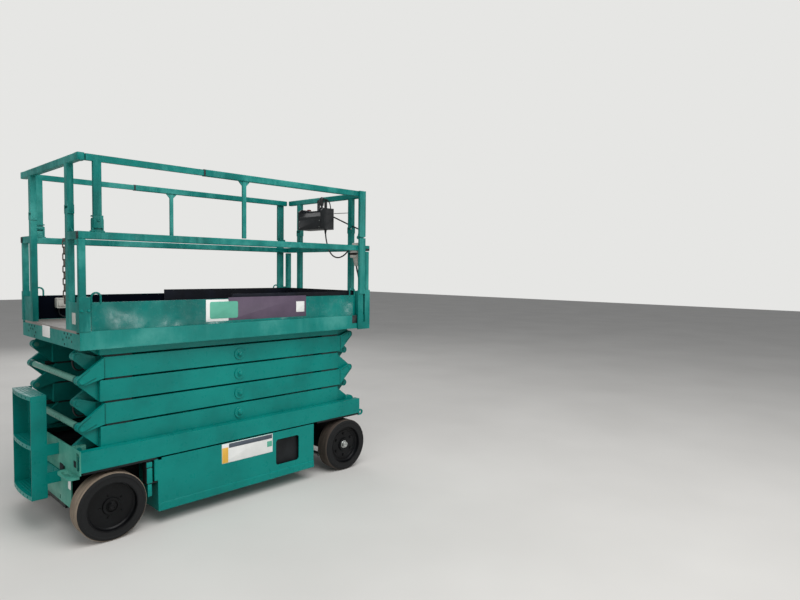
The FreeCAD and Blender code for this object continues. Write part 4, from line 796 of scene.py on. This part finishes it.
def wear_plates():
    """Dark plates that keep outer and inner arms apart near the cross tubes."""
    near, far = WEAR_PLATE_X
    for stage in range(1, 5):
        odd = stage % 2 == 1
        x = (PIN_REAR + near, PIN_REAR + far) if odd else (PIN_FRONT - far, PIN_FRONT - near)
        z = (level(stage) - 0.018, level(stage) + 0.010)
        items = [side_slab(sign, x, WEAR_PLATE_Y, z, 1, 0.005, 0.001) for sign in (1, -1)]
        finish_piece(items, "wear_plates_%d" % stage, "outer_pair_%d" % stage, "pad")


def bolt_hole_shadows():
    """Black discs in the bolt holes in the rear end of the platform: painted shadow of the holes."""
    places = (
        (0.300, 1.240), (0.360, 1.240), (0.420, 1.240), (0.335, 1.218), (0.385, 1.218), (0.275, 1.200),
        (0.430, 1.200), (0.300, 1.174))
    items = [
        turned(row(0.0004, sign * y, z), (-1, 0, 0), 16, [(0.0074, 0.0012)])
        for y, z in places for sign in (1, -1)]
    finish_piece(items, "bolt_hole_shadows", "platform", "inside")


# Wheels

HUB_FACE, AXLE_HEIGHT = 0.548, 0.205
AXLES = (("rear", 0.168), ("front", 2.010))
HUB_NUT = (
    (0, 32, [(0.0305, 0.004)], 0.0008),
    (0.004, 6, [(0.0265, 0.014)], 0.002),
    (0.018, 24, [(0.0205, 0.006), (0.013, -0.004)], 0.0008),
)


def hub_nuts():
    """Castle nut and washer on each spindle, seen in the dish of the rim."""
    for end, axle in AXLES:
        for name, sign in SIDES:
            place = row(axle, sign * HUB_FACE, AXLE_HEIGHT)
            parts = bolted(place, sign, HUB_NUT)
            parts.append(rod([
                place + Vector((x, sign * 0.0212, z))
                for x, z in ((0.025, 0.003), (-0.019, -0.002), (-0.025, -0.006))], 0.0018))
            slot, finish = ("rim_paint", "rim") if end == "rear" else ("bright_steel", "steel")
            finish_piece(
                parts, "hub_nut_%s_%s" % (end, name), "wheel_%s_%s" % (end, name), finish)


# Guard rails

TUBE_Y = (0.5376, 0.5676)
MID_CAP_Z, TOP_CAP_Z = (1.8015, 1.8435), (2.2465, 2.2885)
COVER_FACE = 0.5716


def rail_caps():
    """Black moulded caps in the open ends of the square tubes."""
    for name, sign in SIDES:
        caps = (
            ("mid_rail_cap_front_", "platform", (2.260, 2.2655), MID_CAP_Z),
            ("mid_rail_cap_rear_", "platform", (-0.0055, 0.0), MID_CAP_Z),
            ("top_rail_cap_", "side_front_" + name, (2.212, 2.2175), TOP_CAP_Z),
        )
        for piece, body, x, z in caps:
            cap = side_slab(sign, x, TUBE_Y, z, 0, 0.006, 0.0015)
            finish_piece(cap, piece + name, body, "plastic")
        # The thin rail runs through this one
        ring = side_slab(sign, (0.770, 0.7815), TUBE_Y, (2.245, 2.290), 0, 0.005)
        edit(ring, "FACE", lambda f: abs(f.normal.x) > 0.9, lambda: (
            bpy.ops.mesh.inset(thickness=0.0030), bpy.ops.mesh.bridge_edge_loops()))
        finish_piece(ring, "sleeve_cap_" + name, "side_front_" + name, "plastic")


def rail_corners():
    """Elbows that carry the rear end frame's top bar round to the side rails, and the fold covers."""
    for name, sign in SIDES:
        elbow = side_slab(sign, (0.0, 0.042), (0.512, TUBE_Y[1]), (2.2455, 2.2895), 2, 0.010, 0.003)
        finish_piece(elbow, "rail_elbow_rear_" + name, "end_rear", "rail_teal")
        cover = side_slab(sign, (0.080, 0.135), (0.5672, COVER_FACE), (1.8660, 1.9360), 1, 0.006, 0.001)
        pin = turned(row(0.1075, sign * COVER_FACE, 1.910), (0, sign, 0), 6, [(0.009, 0.005)], 0.0008)
        finish_piece(
            [cover, pin], "fold_cover_rear_" + name, "side_rear_" + name, "rail_teal")


def rear_gap_plates():
    """Plates on the pillar between the rear wheel and the module."""
    outer = (
        ((0.378, 0.4115), (0.288, 0.384)), ((0.382, 0.408), (0.205, 0.280)),
        ((0.376, 0.4115), (0.390, 0.422)))
    for name, sign in SIDES:
        items = [side_slab(sign, x, (0.5560, 0.5635), z, 1, 0.004, 0.0008) for x, z in outer]
        items.append(side_slab(sign, (0.386, 0.398), (0.520, 0.559), (0.200, 0.300), 1, 0.002, 0.0008))
        finish_piece(items, "hinge_guard_" + name, "chassis", "teal")


# Control station

LEAD_EXIT = (2.150, -0.125)
BOX_TOP = 2.153


def control_lead(plug):
    """Lead from under the control box to the connector on the corner post."""
    points = (
        (*LEAD_EXIT, 1.990), (*LEAD_EXIT, 1.955), (2.152, -0.136, 1.890), (2.156, -0.166, 1.806),
        (2.164, -0.214, 1.756), (2.174, -0.275, 1.742), (2.184, -0.337, 1.764), (2.190, -0.388, 1.808),
        (2.193, -0.424, 1.843), (2.195, -0.452, 1.862))
    lead = cord_line("control_lead", points, 0.006)
    path = line_of(lead)
    alone(lead)
    bpy.ops.object.convert(target="MESH")
    bpy.ops.object.shade_smooth()
    gland = finish_piece(
        spun([(0.0, 0.0), (0.0, 0.013), (0.006, 0.013), (0.008, 0.0105), (0.022, 0.009), (0.036, 0.0065),
              (0.036, 0.0)], row(*LEAD_EXIT, 1.9925), (0, 0, -1), 20),
        "control_lead_gland", "end_front", "plastic")
    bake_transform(lead)


def connector():
    """Heavy multi-pole connector at the corner post."""
    hood = slab(row(2.170, -0.512, 1.742), row(2.220, -0.428, 1.846), 0, 0.014, 0.003)
    crown = slab(row(2.174, -0.524, 1.838), row(2.218, -0.450, 1.868), 0, 0.010, 0.003)
    collar = slab(row(2.168, -0.516, 1.770), row(2.222, -0.422, 1.782), 0, 0.010, 0.002)
    return finish_piece([hood, crown, collar], "post_connector", "extension", "grey_box")


def connector_fittings():
    """Latch and strap of the connector, and the lead that goes on down the post."""
    latch = rod([
        row(2.168, -0.500, 1.792), row(2.164, -0.470, 1.812), row(2.164, -0.450, 1.812),
        row(2.168, -0.430, 1.790)], 0.0028)
    finish_piece(latch, "post_connector_latch", "extension", "steel")
    strap = slab(row(2.2180, -0.5700, 1.804), row(2.2610, -0.4300, 1.820), edge=0.002)
    finish_piece(strap, "post_connector_strap", "extension", "plastic")
    tail = slab(row(2.178, -0.506, 1.672), row(2.214, -0.452, 1.746))
    edit(tail, "FACE", lambda f: f.normal.z < -0.9,
         lambda: bpy.ops.transform.resize(value=(0.6, 0.45, 1.0)))
    ease(tail, 0.006, 3)
    finish_piece(tail, "post_connector_tail", "extension", "grey_box")
    points = (
        (2.196, -0.479, 1.744), (2.196, -0.479, 1.690), (2.197, -0.486, 1.645), (2.199, -0.503, 1.600),
        (2.201, -0.510, 1.545), (2.199, -0.506, 1.490), (2.201, -0.511, 1.430), (2.200, -0.508, 1.370),
        (2.198, -0.500, 1.330), (2.196, -0.494, 1.302))
    lead = cord_line("post_lead", points, 0.007)
    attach(lead, "extension")


def control_stays():
    """Stay rods of the control box and the hoop that guards the lever."""
    stay = rod([row(2.232, -0.120, 2.112), row(2.232, -0.469, 1.982), row(2.232, -0.505, 1.976)], 0.0062)
    eye = turned(row(2.226, -0.505, 1.976), (1, 0, 0), 20, [(0.011, 0.012)], 0.002)
    finish_piece([stay, eye], "control_stay", "end_front", "plastic")
    bar = rod([row(2.228, -0.150, 2.136), row(2.228, -0.345, 2.130)], 0.0035)
    finish_piece(bar, "control_stay_thin", "end_front", "steel")
    # The hoop's line, across and up
    line = (
        (0.012, 2.150), (0.012, 2.215), (0.004, 2.258), (-0.030, 2.266), (-0.090, 2.264), (-0.132, 2.240),
        (-0.154, 2.200), (-0.158, 2.150))
    hoop = rod([row(2.182, y, z) for y, z in line], 0.0048, resolution=8)
    finish_piece(hoop, "lever_guard", "end_front", "plastic")


def lever():
    """Drive lever: bellows boot, shaft, ribbed grip with its trigger and thumb rocker."""
    low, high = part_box("joystick")
    centre = Vector(((low[0] + high[0]) / 2, (low[1] + high[1]) / 2, low[2]))
    body = spun([
        (0.000, 0.0), (0.000, 0.0375), (0.004, 0.0375), (0.006, 0.033), (0.011, 0.036), (0.015, 0.028),
        (0.019, 0.031), (0.023, 0.0235), (0.027, 0.026), (0.031, 0.019), (0.035, 0.0175), (0.036, 0.010),
        (0.051, 0.010), (0.052, 0.0135), (0.057, 0.0175), (0.065, 0.0160), (0.074, 0.0185), (0.083, 0.0170),
        (0.093, 0.0200), (0.103, 0.0190), (0.112, 0.0205), (0.119, 0.0180), (0.1235, 0.011), (0.124, 0.0)],
        centre, UP)
    trigger = slab(
        centre + Vector((-0.026, -0.006, 0.066)), centre + Vector((-0.012, 0.006, 0.108)), 1, 0.004, 0.0015)
    piece = finish_piece([body, trigger], "drive_lever", "end_front", "plastic", 50)
    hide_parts("joystick")
    rocker = slab(
        centre + Vector((-0.008, -0.006, 0.1195)), centre + Vector((0.008, 0.006, 0.1265)), 2, 0.003, 0.001)
    finish_piece(rocker, "thumb_rocker", "end_front", "label_dark")


def control_face():
    """Cover plate, screws and switches of the control box."""
    low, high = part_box("control_box")
    cover = slab(
        (low[0] - 0.0018, low[1] + 0.014, low[2] + 0.010), (low[0] + 0.001, high[1] - 0.014, low[2] + 0.084),
        0, 0.008, 0.0006)
    finish_piece(cover, "control_cover", "end_front", "plastic")
    screws = []
    for y in (low[1] + 0.024, high[1] - 0.024):
        for z in (low[2] + 0.020, low[2] + 0.074):
            screws.append(turned(
                (low[0] - 0.0018, y, z), (-1, 0, 0), 16, [(0.0042, 0.0018), (0.002, -0.001)], 0.0004))
    finish_piece(screws, "control_cover_screws", "end_front", "steel")
    top = row(0, 0, BOX_TOP).z
    panel = slab(row(2.106, -0.146, top), row(2.204, 0.146, top + 0.0022), 2, 0.008, 0.0005)
    finish_piece(panel, "control_panel_plate", "end_front", "label_dark")
    ring = turned(row(2.146, 0.104, top + 0.002), UP, 32, [(0.021, 0.004), (0.012, 0.008)], 0.0008)
    finish_piece(ring, "stop_button_ring", "end_front", "label_dark")
    stop = spun([
        (0.0, 0.0), (0.0, 0.0175), (0.004, 0.0195), (0.009, 0.0185), (0.012, 0.013), (0.0135, 0.006),
        (0.014, 0.0)], row(2.146, 0.104, top + 0.012), UP)
    finish_piece(stop, "stop_button", "end_front", "red_plastic", 60)
    buttons = []
    for k in range(3):
        for x in (2.132, 2.166):
            place = row(x, 0.066 - 0.026 * k, top + 0.002)
            buttons.append(turned(place, UP, 24, [(0.009, 0.003), (0.0065, 0.003)], 0.0007))
    finish_piece(buttons, "control_buttons", "end_front", "grey_box")


# Module loads

BATTERIES = 4


def battery_tops():
    """Lids, filler caps, terminals and straps of four batteries in the left module."""
    low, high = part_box("battery_pack")
    length = (high[0] - low[0]) / BATTERIES
    terminal_y = high[1] - 0.045
    lids, caps, posts, straps = [], [], [], []
    for k in range(BATTERIES):
        start = low[0] + k * length
        lids.append(slab(
            (start + 0.006, low[1] + 0.008, high[2] - 0.001),
            (start + length - 0.006, high[1] - 0.008, high[2] + 0.016), 2, 0.010, 0.002))
        for j in range(3):
            place = (start + length * (0.28 + 0.22 * j), low[1] + 0.128, high[2] + 0.015)
            caps.append(turned(place, UP, 24, [(0.019, 0.009), (0.013, 0.004)], 0.0012))
        for share in (0.16, 0.84):
            place = (start + length * share, terminal_y, high[2] + 0.015)
            posts.append(turned(place, UP, 20, [(0.011, 0.016), (0.006, 0.008)], 0.0008))
    for k in range(1, BATTERIES):
        seam = low[0] + k * length
        z = high[2] + 0.028
        straps.append(rod([
            (seam - length * 0.16, terminal_y, z), (seam - 0.02, terminal_y, z + 0.022),
            (seam + 0.02, terminal_y, z + 0.022), (seam + length * 0.16, terminal_y, z)],
            0.0065, resolution=5, across=2))
    body = "module_left"
    finish_piece(lids, "battery_lids", body, "plastic")
    finish_piece(caps, "battery_caps", body, "grey_box")
    finish_piece(posts, "battery_posts", body, "steel")
    finish_piece(straps, "battery_straps", body, "pad", 60)


def pump_set():
    """Electric motor with its pump, valve block and tank cap in the right module."""
    low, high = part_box("hydraulic_unit")
    y = (low[1] + high[1]) / 2
    top, seat = high[2], high[2] - 0.001
    z = top + 0.030
    start = low[0] + 0.18
    body = "module_right"
    motor = turned((start, y, z), (1, 0, 0), 40, [
        (0.026, 0.006), (0.031, 0.012), (0.0315, 0.180), (0.029, 0.012), (0.022, 0.040), (0.024, 0.060)])
    saddle = slab((start + 0.040, y - 0.034, seat), (start + 0.170, y + 0.034, z - 0.012), 0, 0.004, 0.001)
    finish_piece([ease(motor, 0.001), saddle], "pump_motor", body, "black")
    block = slab((start + 0.36, y - 0.045, seat), (start + 0.50, y + 0.045, top + 0.055), 2, 0.003, 0.001)
    finish_piece(block, "valve_block", body, "steel")
    coils = []
    for k in range(3):
        place = (start + 0.385 + 0.045 * k, y - 0.044, top + 0.030)
        coils.append(turned(place, (0, -1, 0), 24, [(0.014, 0.030), (0.006, 0.006)], 0.001))
    finish_piece(coils, "valve_coils", body, "plastic")
    cap = turned((high[0] - 0.20, y, seat), UP, 32, [(0.030, 0.014), (0.024, 0.018)])
    lid = slab(
        (high[0] - 0.44, low[1] + 0.02, seat), (high[0] - 0.03, high[1] - 0.02, top + 0.004), 2, 0.012, 0.001)
    finish_piece([ease(cap, 0.0015), lid], "tank_cover", body, "black")
    hoses = []
    for side in (-0.02, 0.02):
        hoses.append(rod([
            (start + 0.30, y + side * 0.6, z), (start + 0.33, y + side, z + 0.012),
            (start + 0.362, y + side, top + 0.034)], 0.007, resolution=5, across=2))
    finish_piece(hoses, "pump_hoses", body, "pad", 60)


# Small fittings

def fold_webs():
    """Upright webs between the ears in which the rear posts of the side frames fold."""
    for name, sign in SIDES:
        web = side_slab(sign, (0.0868, 0.1302), (0.5440, 0.5610), (1.8445, 1.8915), 1, 0.002, 0.0008)
        finish_piece(web, "fold_web_" + name, "platform", "rail_teal")


def rear_end_details():
    """Painted shadow in the open ends of the rails and in the cable openings and rail mouths of the bulkhead,
    as black plates; and the ladder's left flange.
    """
    dark = (
        # name, ranges along, across and up, corner radius, edge
        ("rail_end_shadow_", (0.004, 0.009), (0.506, 0.5600), (0.456, 0.564), 0.003, 0.0005),
        ("cable_hole_shadow_", (-0.0114, -0.0096), (0.212, 0.284), (0.386, 0.436), 0.014, 0.0004),
        ("rail_mouth_shadow_", (-0.0114, -0.0096), (0.464, 0.505), (0.466, 0.504), 0.004, 0.0004),
    )
    for name, sign in SIDES:
        for piece, x, y, z, corner, edge in dark:
            item = side_slab(sign, x, y, z, 0, corner, edge)
            finish_piece(item, piece + name, "chassis", "inside")
    low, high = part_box("ladder")
    flange = slab(row(-0.0765, 0.178, low[2] + 0.002), row(-0.052, 0.1838, high[2] - 0.002), 1, 0.004, 0.0006)
    finish_piece(flange, "ladder_flange", "chassis", "teal")


def post_bolts():
    """Bolts through the post sleeves and the collars."""
    head = ((0, 24, [(0.0095, 0.0016)], 0.0004), (0.0016, 6, [(0.0075, 0.005)], 0.0007))
    for name, sign in SIDES:
        heads = []
        for x in (0.048, 0.010):
            heads += bolted(row(x, sign * COVER_FACE, 1.388), sign, head)
        finish_piece(heads, "post_sleeve_bolts_" + name, "platform", "teal")


def outlet():
    """Spring flap and hinge of the outlet box, and its lead down to the deck."""
    low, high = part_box("outlet_box")
    flap = slab(
        (low[0] + 0.008, low[1] - 0.007, low[2] + 0.012), (high[0] - 0.008, low[1] + 0.001, high[2] - 0.014),
        1, 0.008, 0.002)
    y, z = low[1] - 0.003, high[2] - 0.010
    hinge = rod([(low[0] + 0.012, y, z), (high[0] - 0.012, y, z)], 0.0032, False)
    finish_piece([flap, hinge], "outlet_flap", "platform", "grey_box")
    x = low[0] + 0.018 + REAR_END
    points = (
        (x, 0.517, low[2] + 0.003), (x, 0.517, low[2] - 0.020), (x + 0.004, 0.520, low[2] - 0.045),
        (x + 0.018, 0.522, 1.286), (x + 0.050, 0.521, 1.274), (x + 0.085, 0.524, 1.2725))
    lead = cord_line("outlet_lead", points, 0.0045)
    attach(lead, "platform")


place_camera()
finishes = make_finishes()
dress_nodes()
blank_signs()
boss_bolts()
arm_welds()
lug_outlines()
tube_rings("tube_collars", COLLAR_START, COLLAR_STEPS, 0.0015, "seam")
# Black rings between each lug and its tube collar: painted shadow of the gap
tube_rings("gap_shadow_rings", GAP_SHADOW_START, GAP_SHADOW_STEPS, 0.0, "pad")
rest_pads()
hose_loops()
wear_plates()
bolt_hole_shadows()
hub_nuts()
rail_caps()
rail_corners()
rear_gap_plates()
control_lead(connector())
connector_fittings()
control_stays()
lever()
control_face()
post_bolts()
battery_tops()
pump_set()
fold_webs()
rear_end_details()
outlet()
floor_and_light()
